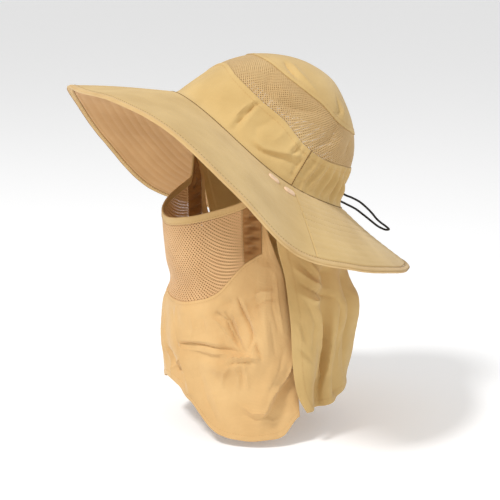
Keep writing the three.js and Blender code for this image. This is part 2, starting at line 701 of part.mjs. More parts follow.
function piece(name, geometry, material) {
  const mesh = new THREE.Mesh(geometry, material);
  mesh.name = name;
  return mesh;
}

const hat = new THREE.Group();
hat.rotation.x = -rad(HAT_LEAN);
hat.add(
  piece("crown_tip", crownTip(), cloth),
  piece("crown_mesh_band", crownNetBand(), net),
  piece("crown_front_panel", crownFrontPanel(), cloth),
  piece("crown_back_panel", crownBackPanel(), cloth),
  piece("brim_upper_front", brimUpper(frontAngles), cloth),
  piece("brim_upper_back", brimUpper(backAngles(BACK_COLUMNS)), cloth),
  piece("brim_under", brimUnder(), lining),
  piece("brim_binding", brimBinding(), edging),
  piece("cord_outlet", cordOutlet(), edging),
);
for (const { place, angle, inset } of TACKS) {
  hat.add(piece(`tack_${place}_left`, brimTack(angle, inset), thread));
  hat.add(piece(`tack_${place}_right`, brimTack(-angle, inset), thread));
}

const part = new THREE.Group();
part.add(
  hat,
  piece("drawcord", drawcord(), elastic),
  piece("neck_flap", neckFlap(), coverCloth),
  piece("cover_binding", coverBinding(), edging),
  piece("cover_mesh", coverNet(), net),
  piece("cover_gusset_left", coverGusset(1), lining),
  piece("cover_gusset_right", coverGusset(-1), lining),
  piece("cover_skirt", coverSkirt(), coverCloth),
);

export default part;
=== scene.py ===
# %% [markdown]
# # A sun hat with a neck flap and a face cover
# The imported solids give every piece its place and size. This file dresses each of them as cloth, net,
# edging or cord. All solids are shown here by finer pieces, because a plain solid looks like plastic.

# %% Load the frame
import math

import bpy
import bmesh
import numpy as np
from mathutils import Matrix, Vector


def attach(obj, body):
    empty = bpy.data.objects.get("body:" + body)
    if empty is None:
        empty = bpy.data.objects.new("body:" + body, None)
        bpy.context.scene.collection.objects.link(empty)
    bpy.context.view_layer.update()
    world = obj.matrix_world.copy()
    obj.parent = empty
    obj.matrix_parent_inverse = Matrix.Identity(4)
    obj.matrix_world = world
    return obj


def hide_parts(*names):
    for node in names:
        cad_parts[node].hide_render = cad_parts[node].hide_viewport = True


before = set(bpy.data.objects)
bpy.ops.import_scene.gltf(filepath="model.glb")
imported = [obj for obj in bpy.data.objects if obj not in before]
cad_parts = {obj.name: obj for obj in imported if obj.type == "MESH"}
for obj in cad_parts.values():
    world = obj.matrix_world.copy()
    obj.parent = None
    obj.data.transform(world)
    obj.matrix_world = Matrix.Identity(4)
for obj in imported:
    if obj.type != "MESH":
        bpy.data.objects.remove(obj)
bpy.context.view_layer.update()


def new_object(name, data):
    thing = bpy.data.objects.new(name, data)
    bpy.context.scene.collection.objects.link(thing)
    return thing


# %% [markdown]
# ## The camera
# The camera was fitted to the photograph once, so it is set from its turn, its rise and its distance.
# A camera object looks along its own -Z, so the columns of its matrix are right, up and backwards.

# %% Camera
VIEW_TURN = math.radians(67.26)
VIEW_RISE = math.radians(11.58)
VIEW_DISTANCE = 1.5
VIEW_SHIFT = (-0.0003, -0.08794)
VIEW_LENS = 111.24


def place_camera():
    turn, rise = VIEW_TURN, VIEW_RISE
    back = Vector((math.sin(turn) * math.cos(rise), -math.cos(turn) * math.cos(rise), math.sin(rise)))
    right = Vector((math.cos(turn), math.sin(turn), 0))
    up = back.cross(right)
    data = bpy.data.cameras.new("camera")
    data.lens = VIEW_LENS
    data.sensor_width = 36
    data.clip_end = 20
    camera = new_object("camera", data)
    columns = Matrix((right, up, back)).transposed().to_4x4()
    spot = back * VIEW_DISTANCE + right * VIEW_SHIFT[0] + up * VIEW_SHIFT[1]
    camera.matrix_world = Matrix.Translation(spot) @ columns
    bpy.context.scene.camera = camera
    return camera


camera = place_camera()
print("camera at", [round(x, 4) for x in camera.location])

# %% [markdown]
# ## Finishes
# Cloth is never one colour. Each finish mixes two near shades over the piece, adds a weave as fine
# bump from the piece's own UV map, which is laid out in metres, and a soft sheen. Wave textures make the
# threads, and a noise makes the small unevenness that washed cloth has.


# %% A node helper and the cloth finish
def add(tree, kind, links=(), **values):
    """Adds one node. values are attributes or, by their name, inputs. links are (input, socket)."""
    node = tree.nodes.new(kind)
    for name, value in values.items():
        if hasattr(node, name):
            setattr(node, name, value)
        else:
            node.inputs[name.replace("_", " ")].default_value = value
    for name, socket in links:
        tree.links.new(socket, node.inputs[name])
    return node


def srgb(red, green, blue):
    """A colour as read from a picture, 0 to 255, as the linear values that shaders take."""
    return tuple(((x / 255 + 0.055) / 1.055) ** 2.4 for x in (red, green, blue))


def set_inputs(node, values):
    for name, value in values.items():
        node.inputs[name].default_value = value


WAVE_PERIOD = 0.314


def cloth_finish(name, light, dark, pitch=0.0007, weave=0.00006, crumple=0.0005):
    material = bpy.data.materials.new(name)
    material.use_nodes = True
    tree = material.node_tree
    shader = tree.nodes["Principled BSDF"]
    place = add(tree, "ShaderNodeTexCoord")
    patches = add(tree, "ShaderNodeTexNoise", [("Vector", place.outputs["Object"])], Scale=22.0, Detail=5.0)
    shades = add(tree, "ShaderNodeValToRGB", [("Fac", patches.outputs["Fac"])])
    for stop, position, colour in zip(shades.color_ramp.elements, (0.32, 0.68), (dark, light)):
        stop.position = position
        stop.color = (*srgb(*colour), 1)
    warp = add(tree, "ShaderNodeTexWave", [("Vector", place.outputs["UV"])], Scale=WAVE_PERIOD / pitch)
    weft = add(tree, "ShaderNodeTexWave", [("Vector", place.outputs["UV"])], Scale=WAVE_PERIOD / pitch)
    weft.bands_direction = "Y"
    threads = add(tree, "ShaderNodeMath", operation="MAXIMUM")
    tree.links.new(warp.outputs["Fac"], threads.inputs[0])
    tree.links.new(weft.outputs["Fac"], threads.inputs[1])
    mix = add(tree, "ShaderNodeMix", data_type="RGBA", blend_type="MULTIPLY", Factor=1)
    tint = add(tree, "ShaderNodeMapRange", [("Value", threads.outputs[0])], To_Min=0.86)
    tree.links.new(shades.outputs["Color"], mix.inputs[6])
    tree.links.new(tint.outputs["Result"], mix.inputs[7])
    tree.links.new(mix.outputs[2], shader.inputs["Base Color"])
    uneven = add(tree, "ShaderNodeTexNoise", [("Vector", place.outputs["Object"])], Scale=70.0, Detail=6.0)
    set_inputs(uneven, {"Distortion": 0.6})
    soft = add(tree, "ShaderNodeBump", [("Height", uneven.outputs["Fac"])], Distance=crumple)
    fine = add(tree, "ShaderNodeBump", [("Height", threads.outputs[0]), ("Normal", soft.outputs["Normal"])])
    set_inputs(fine, {"Distance": weave})
    tree.links.new(fine.outputs["Normal"], shader.inputs["Normal"])
    set_inputs(shader, {
        "Roughness": 0.85, "Specular IOR Level": 0.25, "Sheen Weight": 0.25, "Sheen Roughness": 0.45,
        "Sheen Tint": (1.0, 0.93, 0.8, 1),
    })
    return material


FINISH = {
    "cloth": cloth_finish("hat cloth", (216, 184, 124), (200, 167, 108)),
    # The lining is a darker, warmer copy of the hat cloth. This is painted shade: the colour the underside
    # has in the brim's shadow.
    "lining": cloth_finish("brim lining in shade", (206, 162, 110), (190, 146, 95), crumple=0.0003),
    "cover_cloth": cloth_finish("thin cover cloth", (222, 184, 128), (208, 168, 113), crumple=0.0009),
    "edging": cloth_finish("edging tape", (218, 184, 128), (204, 168, 112), pitch=0.0009, weave=0.0001),
    "net": cloth_finish("net yarn", (212, 180, 128), (196, 162, 112), pitch=0.0006, crumple=0.0001),
    "face_yarn": cloth_finish(
        "face net yarn", (226, 184, 134), (208, 165, 116), pitch=0.0006, crumple=0.0001
    ),
    "thread": cloth_finish("tack thread", (246, 216, 184), (232, 196, 160), pitch=0.0008, weave=0.0001),
    "seam": cloth_finish("sewing thread", (214, 172, 112), (200, 158, 100), pitch=0.0004, crumple=0.0),
    # A darker copy of the hat cloth that paints shade, on the gussets under the brim and along the upper
    # quilting rows.
    "shaded_cloth": cloth_finish("cloth painted in shade", (172, 126, 76), (156, 112, 64), crumple=0.0009),
    # Dark thread that paints shade along seams: the crevice at the crown's foot, the side seams and the
    # tape's stitch line.
    "shade_thread": cloth_finish("thread in shade", (138, 104, 58), (118, 86, 46), pitch=0.0004),
    "elastic": cloth_finish("elastic cord", (40, 38, 42), (22, 21, 24), pitch=0.0009, weave=0.0002),
}
print("finishes:", ", ".join(FINISH))

# %% [markdown]
# ## The cord
# A thin elastic loop leaves the patch at the back of the crown and goes back into it. It is a curve with
# a bevel. Its length has to be exact; the route is smoothed in Python before the curve is made.

# %% The loop of elastic cord
CORD_ROUTE = [
    (5, 94.8, -37.8), (5.2, 97.6, -39), (6, 101.4, -41.2), (6, 107.7, -43.8), (6, 116.7, -48.8),
    (5.5, 125, -55.6), (5, 131, -61.4), (5, 136, -67.2), (5, 141, -71.6), (4.9, 146, -75.2),
    (3.6, 150.6, -78.6), (0, 152.8, -80.6), (-3.6, 151, -81.2), (-4.9, 146.4, -79.2), (-5, 141.2, -76),
    (-5, 132.9, -69.4), (-5, 124.2, -62.6), (-5, 116.7, -57.2), (-5, 105.4, -51.2), (-5, 99.4, -48),
    (-5, 95.9, -44.6), (-5, 93.4, -42.7),
]
CORD_DIAMETER = 0.0022


def smooth_route(points, between=6):
    """A smooth line through all the points, which are in millimetres, with more points between."""
    points = [Vector(p) * 0.001 for p in points]
    ends = [points[0] * 2 - points[1], *points, points[-1] * 2 - points[-2]]
    route = []
    for a, b, c, d in zip(ends, ends[1:], ends[2:], ends[3:]):
        for t in (k / between for k in range(between)):
            square, cube = 2 * a - 5 * b + 4 * c - d, 3 * b - a - 3 * c + d
            route.append(0.5 * (2 * b + (c - a) * t + square * t**2 + cube * t**3))
    return [*route, points[-1]]


def line_curve(name, points, diameter):
    data = bpy.data.curves.new(name, "CURVE")
    data.dimensions = "3D"
    data.bevel_depth = diameter / 2
    data.bevel_resolution = 3
    data.use_fill_caps = True
    spline = data.splines.new("POLY")
    spline.points.add(len(points) - 1)
    for slot, point in zip(spline.points, points):
        slot.co = (*point, 1)
    return new_object(name, data)


def settle(piece, node, finish=None):
    """Gives a finished piece its body and, where named, its finish, and hides the node that it replaces."""
    if finish:
        piece.data.materials.clear()
        piece.data.materials.append(FINISH[finish])
    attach(piece, "root")
    if node:
        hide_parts(node)
    return piece


route = smooth_route(CORD_ROUTE)
cord = settle(line_curve("elastic_loop", route, CORD_DIAMETER), "drawcord", "elastic")

# %% [markdown]
# ## One set of sizes for every piece
# The pieces meet along seams, so they all read the same few tables. A table is read on a smooth curve
# between its rows. Lengths stay in millimetres until a mesh is made.

# %% Sizes and tables
MM = 0.001
HEAD_LENGTH, HEAD_WIDTH, CROWN_HEIGHT, BRIM_WIDTH = 208, 172, 111, 105
HALF_LENGTH, HALF_WIDTH = HEAD_LENGTH / 2, HEAD_WIDTH / 2
RING_SADDLE, SADDLE_FADE, SIDE_SEAM = 9.3, 1.5, 98
HAT_LEAN = math.radians(35.34)
FLAP_DROP, FLAP_FOLD_DEPTH, COVER_DROP, COVER_FOLD_DEPTH, FOLD_WIDTH = 231, 9, 255, 5, 11
COVER_EDGE_STRIP, MESH_SIDE, STRAP_FRONT, COVER_REAR = 7.3, 64, 76, 97
HOLD_START, COVER_ROOT, COVER_FLARE, FLAP_ROOT, FLAP_BLEND = 66, 3, 34, 8, 0.3
BINDING_WIDTH, GAP, CLOTH_WALL = 6.5, 0.3, 1.2
UPPER_TO, UNDER_TO = 1.25, -1.45
HANG_CLEARANCE = GAP + CLOTH_WALL / 2


def table(columns, rows):
    """Columns by name. The first is the one that the rows are looked up by."""
    names = columns.split()
    found = {name: np.array([row[i] for row in rows], float) for i, name in enumerate(names)}
    found["key"] = names[0]
    return found


CROWN_SECTIONS = table("at rise length width centre", [
    (0, 0, 1, 1, 0), (0.05, 0.06, 0.935, 0.985, 0.007), (0.172, 0.238, 0.87, 0.96, 0.018),
    (0.295, 0.43, 0.796, 0.92, 0.028), (0.419, 0.58, 0.713, 0.86, 0.034), (0.551, 0.727, 0.581, 0.745, 0.034),
    (0.7, 0.856, 0.404, 0.56, 0.041), (0.842, 0.952, 0.216, 0.32, 0.07), (1, 1, 0, 0, 0.13),
])
BAND_EDGES = table("angle foot head", [
    (0, 0.36, 0.55), (22, 0.3, 0.545), (45, 0.27, 0.52), (67, 0.267, 0.515), (90, 0.232, 0.51),
    (112, 0.223, 0.47), (135, 0.24, 0.465), (180, 0.27, 0.48),
])
BRIM_SECTIONS = table("angle reach drop bow", [
    (0, 0.726, 0.375, 0.025), (22.5, 0.816, 0.341, 0.025), (45, 1.002, 0.348, 0.025),
    (67.5, 1.058, 0.492, 0.02), (90, 0.994, 0.63, 0.015), (112.5, 0.913, 0.441, 0),
    (135, 0.831, 0.236, -0.005), (157.5, 0.829, 0.083, -0.015), (180, 0.931, -0.031, -0.015),
])
FLAP_SECTIONS = table("drop side back edge", [
    (0, 1.02, 0.86, 84), (0.28, 0.99, 0.83, 84), (0.42, 1.01, 0.87, 88.5), (0.52, 1.047, 0.93, 90),
    (0.61, 1.066, 1.025, 91), (0.76, 1.08, 0.96, 92), (0.87, 1.093, 0.92, 93.5), (0.935, 1.11, 0.915, 95.5),
    (1, 1.14, 0.905, 100),
])
FLAP_HEM = table("angle drop", [(84, 0.995), (100, 1), (116, 0.992), (140, 0.972), (164, 0.963), (180, 0.96)])
COVER_SECTIONS = table("drop side front rear", [
    (0, 0.95, 0.83, 79), (0.2, 0.93, 0.832, 79), (0.3, 0.94, 0.818, 84), (0.385, 0.953, 0.787, 89),
    (0.46, 0.97, 0.75, 91), (0.55, 1, 0.791, 93), (0.695, 1.03, 0.81, 94.5), (0.85, 1.06, 0.785, 95.5),
    (1, 1.12, 0.8, 95),
])
COVER_TOP = table("angle drop", [(0, 0.196), (26, 0.176), (43, 0.15), (61, 0.115), (76, 0.075), (97, 0.05)])
NET_FOOT = table("angle drop", [
    (0, 0.512), (15, 0.507), (25, 0.494), (35, 0.476), (43, 0.451), (50, 0.416), (57, 0.376), (64, 0.338),
    (70, 0.318), (76, 0.302),
])
COVER_HEM = table("angle drop", [
    (-97, 0.845), (-70, 0.895), (-40, 0.887), (-15, 0.84), (0, 0.84), (20, 0.875), (40, 0.976), (60, 1),
    (75, 0.996), (87, 0.984), (97, 0.92),
])
FOLD_COLUMNS = "angleA dropA angleB dropB width depth"
COVER_FOLDS = table(FOLD_COLUMNS, [
    (17, 0.55, 19, 0.84, 1, -0.7), (-4, 0.76, 10, 0.8, 1.1, 1.1), (14, 0.67, 45, 0.7, 0.6, 0.7),
    (44, 0.55, 54, 0.68, 0.7, 0.9), (51, 0.5, 58, 0.62, 0.7, 0.9), (46, 0.73, 58, 0.7, 0.7, -0.7),
    (84, 0.74, 70, 0.9, 0.8, -0.9), (89, 0.8, 84, 0.92, 1.2, 1), (76, 0.34, 62, 0.56, 1.3, 0.9),
    (79, 0.36, 72, 0.7, 1.1, -0.8), (-46, 0.56, -58, 0.85, 1.2, 1), (-24, 0.56, -30, 0.84, 1.2, -0.7),
])
FLAP_FOLDS = table(FOLD_COLUMNS, [
    (122, 0.45, 112, 1, 0.9, 1), (104, 0.5, 103, 1, 1, -0.4), (146, 0.5, 132, 0.95, 0.9, 0.7),
    (160, 0.5, 158, 0.85, 1.1, -0.3), (184, 0.5, 178, 1, 1.1, 0.7), (214, 0.5, 222, 1, 1, 0.8),
    (240, 0.45, 248, 1, 0.9, 1), (256, 0.5, 257, 1, 1, -0.4),
])


def read(rows, column, place):
    """A table's column at places between its rows. A table by angle is level at its ends."""
    x, y = rows[rows["key"]], rows[column]
    slope = np.empty_like(y)
    slope[1:-1] = (y[2:] - y[:-2]) / (x[2:] - x[:-2])
    ends = 0 if rows["key"] == "angle" else 1
    slope[0] = ends * (y[1] - y[0]) / (x[1] - x[0])
    slope[-1] = ends * (y[-1] - y[-2]) / (x[-1] - x[-2])
    at = np.clip(place, x[0], x[-1])
    i = np.clip(np.searchsorted(x, at) - 1, 0, len(x) - 2)
    span = x[i + 1] - x[i]
    t = (at - x[i]) / span
    return (
        (2 * t**3 - 3 * t**2 + 1) * y[i] + (t**3 - 2 * t**2 + t) * span * slope[i]
        + (3 * t**2 - 2 * t**3) * y[i + 1] + (t**3 - t**2) * span * slope[i + 1]
    )


def ramp(x, low, high):
    """From 0 at low to 1 at high, with a gentle start and end."""
    t = np.clip((x - low) / (high - low), 0, 1)
    return t * t * (3 - 2 * t)


def sin_deg(angle):
    return np.sin(np.radians(angle))


def cos_deg(angle):
    return np.cos(np.radians(angle))


def side_angle(angle):
    """The angle from the front, the same on both sides."""
    turn = np.mod(angle, 360)
    return np.minimum(turn, 360 - turn)


def signed_angle(angle):
    """The angle from the front, from -180 to 180."""
    return side_angle(angle) * np.sign(180 - np.mod(angle, 360))


def between(low, high, share):
    return low * (1 - share) + high * share


def near_line(x, y, start, end, scale):
    """How far along a straight line each place lies, from 0 to 1, and how far away from it."""
    along = np.array([(end[0] - start[0]) * scale[0], (end[1] - start[1]) * scale[1]])
    px, py = (x - start[0]) * scale[0], (y - start[1]) * scale[1]
    share = np.clip((px * along[0] + py * along[1]) / (along @ along), 0, 1)
    return share, np.hypot(px - share * along[0], py - share * along[1])


def stack(x, y, z):
    return np.stack(np.broadcast_arrays(x, y, z), -1)


def lean(point):
    """From the hat's own frame to the part's: the hat leans back."""
    x, y, z = point[..., 0], point[..., 1], point[..., 2]
    cosine, sine = math.cos(HAT_LEAN), math.sin(HAT_LEAN)
    return stack(x, y * cosine + z * sine, z * cosine - y * sine)


print("crown height", CROWN_HEIGHT, "mm, brim width", BRIM_WIDTH, "mm")

# %% [markdown]
# ## The surfaces under the pieces
# Each piece lies on one of four surfaces: the crown, the brim, the flap or the cover. A surface is a
# function from two numbers to a point, so a seam, a stitch or a net can be laid on it at any place.


# %% Crown and brim surfaces
def ring_radius(angle):
    return 1 / np.hypot(sin_deg(angle) / HALF_WIDTH, cos_deg(angle) / HALF_LENGTH)


def ring_lift(angle):
    return RING_SADDLE * cos_deg(2 * angle)


def crown_point(angle, at):
    width, length, centre, rise = (read(CROWN_SECTIONS, c, at) for c in ("width", "length", "centre", "rise"))
    reach = ring_radius(angle)
    lift = ring_lift(angle) * np.clip(1 - at, 0, 1) ** SADDLE_FADE
    return lean(stack(
        width * reach * sin_deg(angle),
        centre * HALF_LENGTH - length * reach * cos_deg(angle),
        rise * CROWN_HEIGHT + lift,
    ))


def brim_reach(angle):
    return read(BRIM_SECTIONS, "reach", side_angle(angle)) * BRIM_WIDTH


def brim_local(angle, inset):
    """The brim in the hat's own frame, inset being the distance out from the crown."""
    share = inset / brim_reach(angle)
    edge = -read(BRIM_SECTIONS, "drop", side_angle(angle)) * BRIM_WIDTH
    bow = read(BRIM_SECTIONS, "bow", side_angle(angle)) * BRIM_WIDTH * np.sin(np.pi * np.clip(share, 0, 1))
    radius = ring_radius(angle) + inset
    height = ring_lift(angle) * (1 - share) + edge * share + bow
    return stack(radius * sin_deg(angle), -radius * cos_deg(angle), height)


def brim_point(angle, inset):
    return lean(brim_local(angle, inset))


def under_brim(angle, inset, clearance):
    """A place below the brim's underside, along the brim's own normal."""
    u = brim_point(angle + 0.01, inset) - brim_point(angle - 0.01, inset)
    v = brim_point(angle, inset + 0.01) - brim_point(angle, inset - 0.01)
    below = np.cross(u, v)
    below /= np.linalg.norm(below, axis=-1, keepdims=True)
    return brim_point(angle, inset) + below * (clearance - UNDER_TO)


print("brim edge at the side:", brim_point(np.array(90.0), brim_reach(np.array(90.0))).round(1), "mm")


# %% Flap and cover surfaces
def fold_depth(folds, angle, drop, full_drop):
    """The sum of the large folds, each a soft ridge or hollow along a straight line."""
    scale = (math.radians(1) * HALF_WIDTH, full_drop)
    depth = 0
    for a0, d0, a1, d1, width, amount in zip(*(folds[c] for c in FOLD_COLUMNS.split())):
        away = near_line(angle, drop, (a0, d0), (a1, d1), scale)[1]
        depth = depth + amount * np.exp(-((away / (width * FOLD_WIDTH)) ** 2))
    return depth


def round_head(sections, end, drop, angle, fold):
    """Where a hanging cloth lies round the head at its angle, less its fold."""
    x = (read(sections, "side", drop) * HALF_WIDTH - fold) * sin_deg(angle)
    return x, -(read(sections, end, drop) * HALF_LENGTH - fold) * cos_deg(angle)


def flap_point(share, row):
    """share runs round the back from one front edge to the other, and row from the brim to the hem."""
    first = FLAP_SECTIONS["edge"][0]
    root_angle = first + (360 - 2 * first) * share
    root = under_brim(root_angle, FLAP_ROOT, HANG_CLEARANCE)
    hem = -read(FLAP_HEM, "drop", side_angle(root_angle)) * FLAP_DROP
    z = between(root[..., 2], hem, row)
    drop = np.maximum(-z / FLAP_DROP, 0)
    edge = read(FLAP_SECTIONS, "edge", drop)
    angle = edge + (360 - 2 * edge) * share
    fold = fold_depth(FLAP_FOLDS, angle, drop, FLAP_DROP) * FLAP_FOLD_DEPTH
    x, y = round_head(FLAP_SECTIONS, "back", drop, angle, fold)
    hold = ramp(row, 0, FLAP_BLEND)
    return stack(between(root[..., 0], x, hold), between(root[..., 1], y, hold), z)


def cover_angle(column, drop):
    """Columns keep their angle up to the strap's front. From there they spread to the rear edge."""
    side = np.abs(column)
    past = np.maximum(side - STRAP_FRONT, 0) / (COVER_REAR - STRAP_FRONT)
    rear = read(COVER_SECTIONS, "rear", drop)
    return np.sign(column) * (np.minimum(side, STRAP_FRONT) + past * (rear - STRAP_FRONT))


def cover_edge(column):
    """Where a column of the cover hangs from the brim, how much it is held there, and its free top."""
    side = np.abs(column)
    root = under_brim(cover_angle(column, 0 * side), COVER_ROOT, HANG_CLEARANCE)
    return root, ramp(side, HOLD_START, STRAP_FRONT), -read(COVER_TOP, "drop", side) * COVER_DROP


def cover_point(column, below):
    """column is near the angle from the front, and below is the distance under the cover's top."""
    root, hold, free = cover_edge(column)
    z = between(free, root[..., 2], hold) - below
    drop = np.maximum(-z / COVER_DROP, 0)
    angle = cover_angle(column, drop)
    fold = fold_depth(COVER_FOLDS, angle, drop, COVER_DROP) * COVER_FOLD_DEPTH
    x, y = round_head(COVER_SECTIONS, "front", drop, angle, fold)
    held = hold * (1 - ramp(below, 0, COVER_FLARE))
    return stack(x + (root[..., 0] - x) * held, y + (root[..., 1] - y) * held, z)


def below_top(column, height):
    """How far below the cover's top a height lies."""
    root, hold, free = cover_edge(column)
    return between(free, root[..., 2], hold) - height


def net_foot(column):
    return below_top(column, -read(NET_FOOT, "drop", np.abs(column)) * COVER_DROP)


def cover_hem(column):
    return below_top(column, -read(COVER_HEM, "drop", column) * COVER_DROP)


print("flap hem at the rear:", flap_point(np.array(0.5), np.array(1.0)).round(1), "mm")

# %% [markdown]
# ## From a surface to a piece of cloth
# A cloth piece is a thin closed shell: an outer and an inner face and a rounded rim. Solidify could
# give a flat sheet its wall, but here the two faces carry different relief, such as the brim's quilting,
# so both are laid out at once. The UV map holds true lengths, so the weave has one size everywhere.


# %% The shell maker
def graded(low, high, count, rim):
    """Steps from low to high, with two short ones at each end for the rounded rim."""
    middle = np.linspace(low + rim, high - rim, count)
    return np.array([low, low + 0.3 * rim, *middle, high - 0.3 * rim, high])


def rim_share(count, first, last):
    """How much of the wall's thickness each step has, less at a rounded rim."""
    share = np.ones(count)
    if first:
        share[:2] = 0.3, 0.8
    if last:
        share[-2:] = 0.8, 0.3
    return share


def surface_normals(surface, A, B, step, facing):
    u = surface(A + step[0], B) - surface(A - step[0], B)
    v = surface(A, B + step[1]) - surface(A, B - step[1])
    normal = np.cross(u, v) * facing
    size = np.linalg.norm(normal, axis=-1, keepdims=True)
    return normal / np.maximum(size, 1e-12)


def mesh_piece(name, points, faces, corners=None, sharp=50):
    mesh = bpy.data.meshes.new(name)
    mesh.from_pydata((np.asarray(points) * MM).tolist(), [], faces)
    if corners is not None:
        layer = mesh.uv_layers.new(name="UVMap")
        layer.data.foreach_set("uv", (np.asarray(corners) * MM).astype(np.float32).ravel())
    mesh.polygons.foreach_set("use_smooth", [True] * len(mesh.polygons))
    mesh.set_sharp_from_angle(angle=math.radians(sharp))
    mesh.update()
    return new_object(name, mesh)


def rework(thing, change):
    """Lets a function change the mesh as a bmesh, and returns what that function returns."""
    work = bmesh.new()
    work.from_mesh(thing.data)
    result = change(work)
    work.to_mesh(thing.data)
    work.free()
    return result


def shell(name, surface, across, along, outer, inner, relief=None, under=None, closed=False, pole=False,
          flip=False, step=(0.01, 0.01), sharp=50, joined=None):
    """relief and under raise the outer and the inner face, in millimetres, at each place.
    joined names the low or high side that another shell goes on from, which gets no rim there, and as
    corner the columns that stay at full thickness where they meet it."""
    joined = joined or {}
    free = {side: joined.get(side, lambda A: np.zeros(A.shape, bool)) for side in ("low", "high")}
    A, B = np.meshgrid(np.asarray(across, float), np.asarray(along, float), indexing="ij")
    base = surface(A, B)
    normal = surface_normals(surface, A, B, step, -1 if flip else 1)
    if pole:
        mean = normal[:, -2].mean(0)
        normal[:, -1] = mean / np.linalg.norm(mean)
    nu, nv = A.shape
    low_free, high_free = free["low"](A[:, 0]), free["high"](A[:, 0])
    share = np.where(low_free[:, None], 1, rim_share(nv, not pole, False)[None, :])
    share = np.minimum(share, np.where(high_free[:, None], 1, rim_share(nv, False, not pole)[None, :]))
    if not closed:
        share = np.minimum(share, rim_share(nu, True, True)[:, None])
    if "corner" in joined:
        share[joined["corner"], -1] = 1
    middle, half = (outer + inner) / 2, (outer - inner) / 2 * share
    up = relief(A, B) if relief else 0 * A
    down = (under or relief)(A, B) if (under or relief) else 0 * A
    top = base + normal * (middle + half + up)[..., None]
    low = base + normal * (middle - half + down)[..., None]
    points = np.concatenate([top.reshape(-1, 3), low.reshape(-1, 3)])
    length_u = np.concatenate([[0], np.cumsum(np.linalg.norm(np.diff(base[:, nv // 2], axis=0), axis=1))])
    length_v = np.concatenate([[0], np.cumsum(np.linalg.norm(np.diff(base[nu // 2], axis=0), axis=1))])
    length_u = np.append(length_u, length_u[-1] + np.linalg.norm(base[0, nv // 2] - base[-1, nv // 2]))
    faces, corners = [], []

    def quad(*places):
        ring = [(i % nu) * nv + j + layer * nu * nv for i, j, layer in places]
        uv = [(length_u[i], length_v[j]) for i, j, layer in places]
        faces.append(ring[::-1] if flip else ring)
        corners.extend(uv[::-1] if flip else uv)

    for i in range(nu if closed else nu - 1):
        for j in range(nv - 1):
            quad((i, j, 0), (i + 1, j, 0), (i + 1, j + 1, 0), (i, j + 1, 0))
            quad((i, j, 1), (i, j + 1, 1), (i + 1, j + 1, 1), (i + 1, j, 1))
        if not (low_free[i] and low_free[(i + 1) % nu]):
            quad((i, 0, 1), (i + 1, 0, 1), (i + 1, 0, 0), (i, 0, 0))
        if not pole and not (high_free[i] and high_free[(i + 1) % nu]):
            quad((i, nv - 1, 0), (i + 1, nv - 1, 0), (i + 1, nv - 1, 1), (i, nv - 1, 1))
    if not closed:
        for j in range(nv - 1):
            quad((0, j + 1, 1), (0, j, 1), (0, j, 0), (0, j + 1, 0))
            quad((nu - 1, j, 1), (nu - 1, j + 1, 1), (nu - 1, j + 1, 0), (nu - 1, j, 0))
    thing = mesh_piece(name, points, faces, corners, sharp)
    if pole:
        rework(thing, lambda work: bmesh.ops.remove_doubles(work, verts=work.verts, dist=1e-6))
    print(name, len(thing.data.polygons), "faces")
    return thing


print("thickness near a rim:", rim_share(6, True, True))

# %% Creases, ripples and rims of cloth
CREASE_POWER, CREASE_HEIGHT = 1.15, 1.15


def creases(rows, x, y, scale=(1, 1)):
    """Lines in the cloth. Each row is a width, a height in mm, and the points that the line runs
    through. It is highest halfway along, and falls off steeply on both sides as a fold does."""
    total = 0 * x
    for width, height, *points in rows:
        nearest, place = np.full(x.shape, 1e9), 0 * x
        for k, (start, end) in enumerate(zip(points, points[1:])):
            share, away = near_line(x, y, start, end, scale)
            place = np.where(away < nearest, (k + share) / (len(points) - 1), place)
            nearest = np.minimum(away, nearest)
        taper = 0.3 + 0.7 * np.sin(np.pi * np.clip(place, 0.02, 0.98)) ** 0.6
        total = total + height * taper * CREASE_HEIGHT * np.exp(-((nearest / width) ** CREASE_POWER))
    return total


def ripple(x, y, size, seed, count=7):
    """A gentle unevenness from a few crossing waves, with a fixed seed."""
    rng = np.random.default_rng(seed)
    total = 0 * x
    for _ in range(count):
        turn = rng.uniform(0, math.pi)
        reach = size * rng.uniform(0.6, 1.6)
        phase = rng.uniform(0, 2 * math.pi)
        total = total + np.sin((x * math.cos(turn) + y * math.sin(turn)) * 2 * math.pi / reach + phase)
    return total / count


def band_edge(distance, width, height):
    """A folded hem: a raised strip from the rim to its inner line, with a small step there."""
    return height * (1 - ramp(distance, width - 0.8, width + 0.4))


CROWN_STEP = 152
CROWN_TURN = 1.5
CROWN_FOOT = 0.0045
SEAM_SHARE = GAP / 2 / math.hypot(CROWN_HEIGHT, HALF_LENGTH)
SEAM_ANGLE = math.degrees(GAP / 2 / HALF_WIDTH)


def band_foot(angle):
    return read(BAND_EDGES, "foot", side_angle(angle))


def band_head(angle):
    return read(BAND_EDGES, "head", side_angle(angle))


def strip(point, low, high):
    """The part of a surface between two edges, as a surface of its own from row 0 to row 1."""
    return lambda A, B: point(A, between(low(A), high(A), B))


def same(value):
    """An edge that keeps one value all the way along."""
    return lambda A: value + 0 * A


def wall_place(A, B):
    return between(CROWN_FOOT, band_foot(A) - SEAM_SHARE, B)


def crown_wall(A, B):
    return crown_point(A, wall_place(A, B))


print("crown wall at the side:", crown_wall(np.array(90.0), np.array(1.0)).round(1), "mm")

# %% [markdown]
# ## The crown
# Four pieces of cloth and net make the crown. The front panel has a pleat and a few pulled creases, and
# the back panel is gathered onto the cord's casing. The reliefs are small lines and waves along the surface,
# which is quicker and steadier than a cloth simulation and keeps the seams where they are.

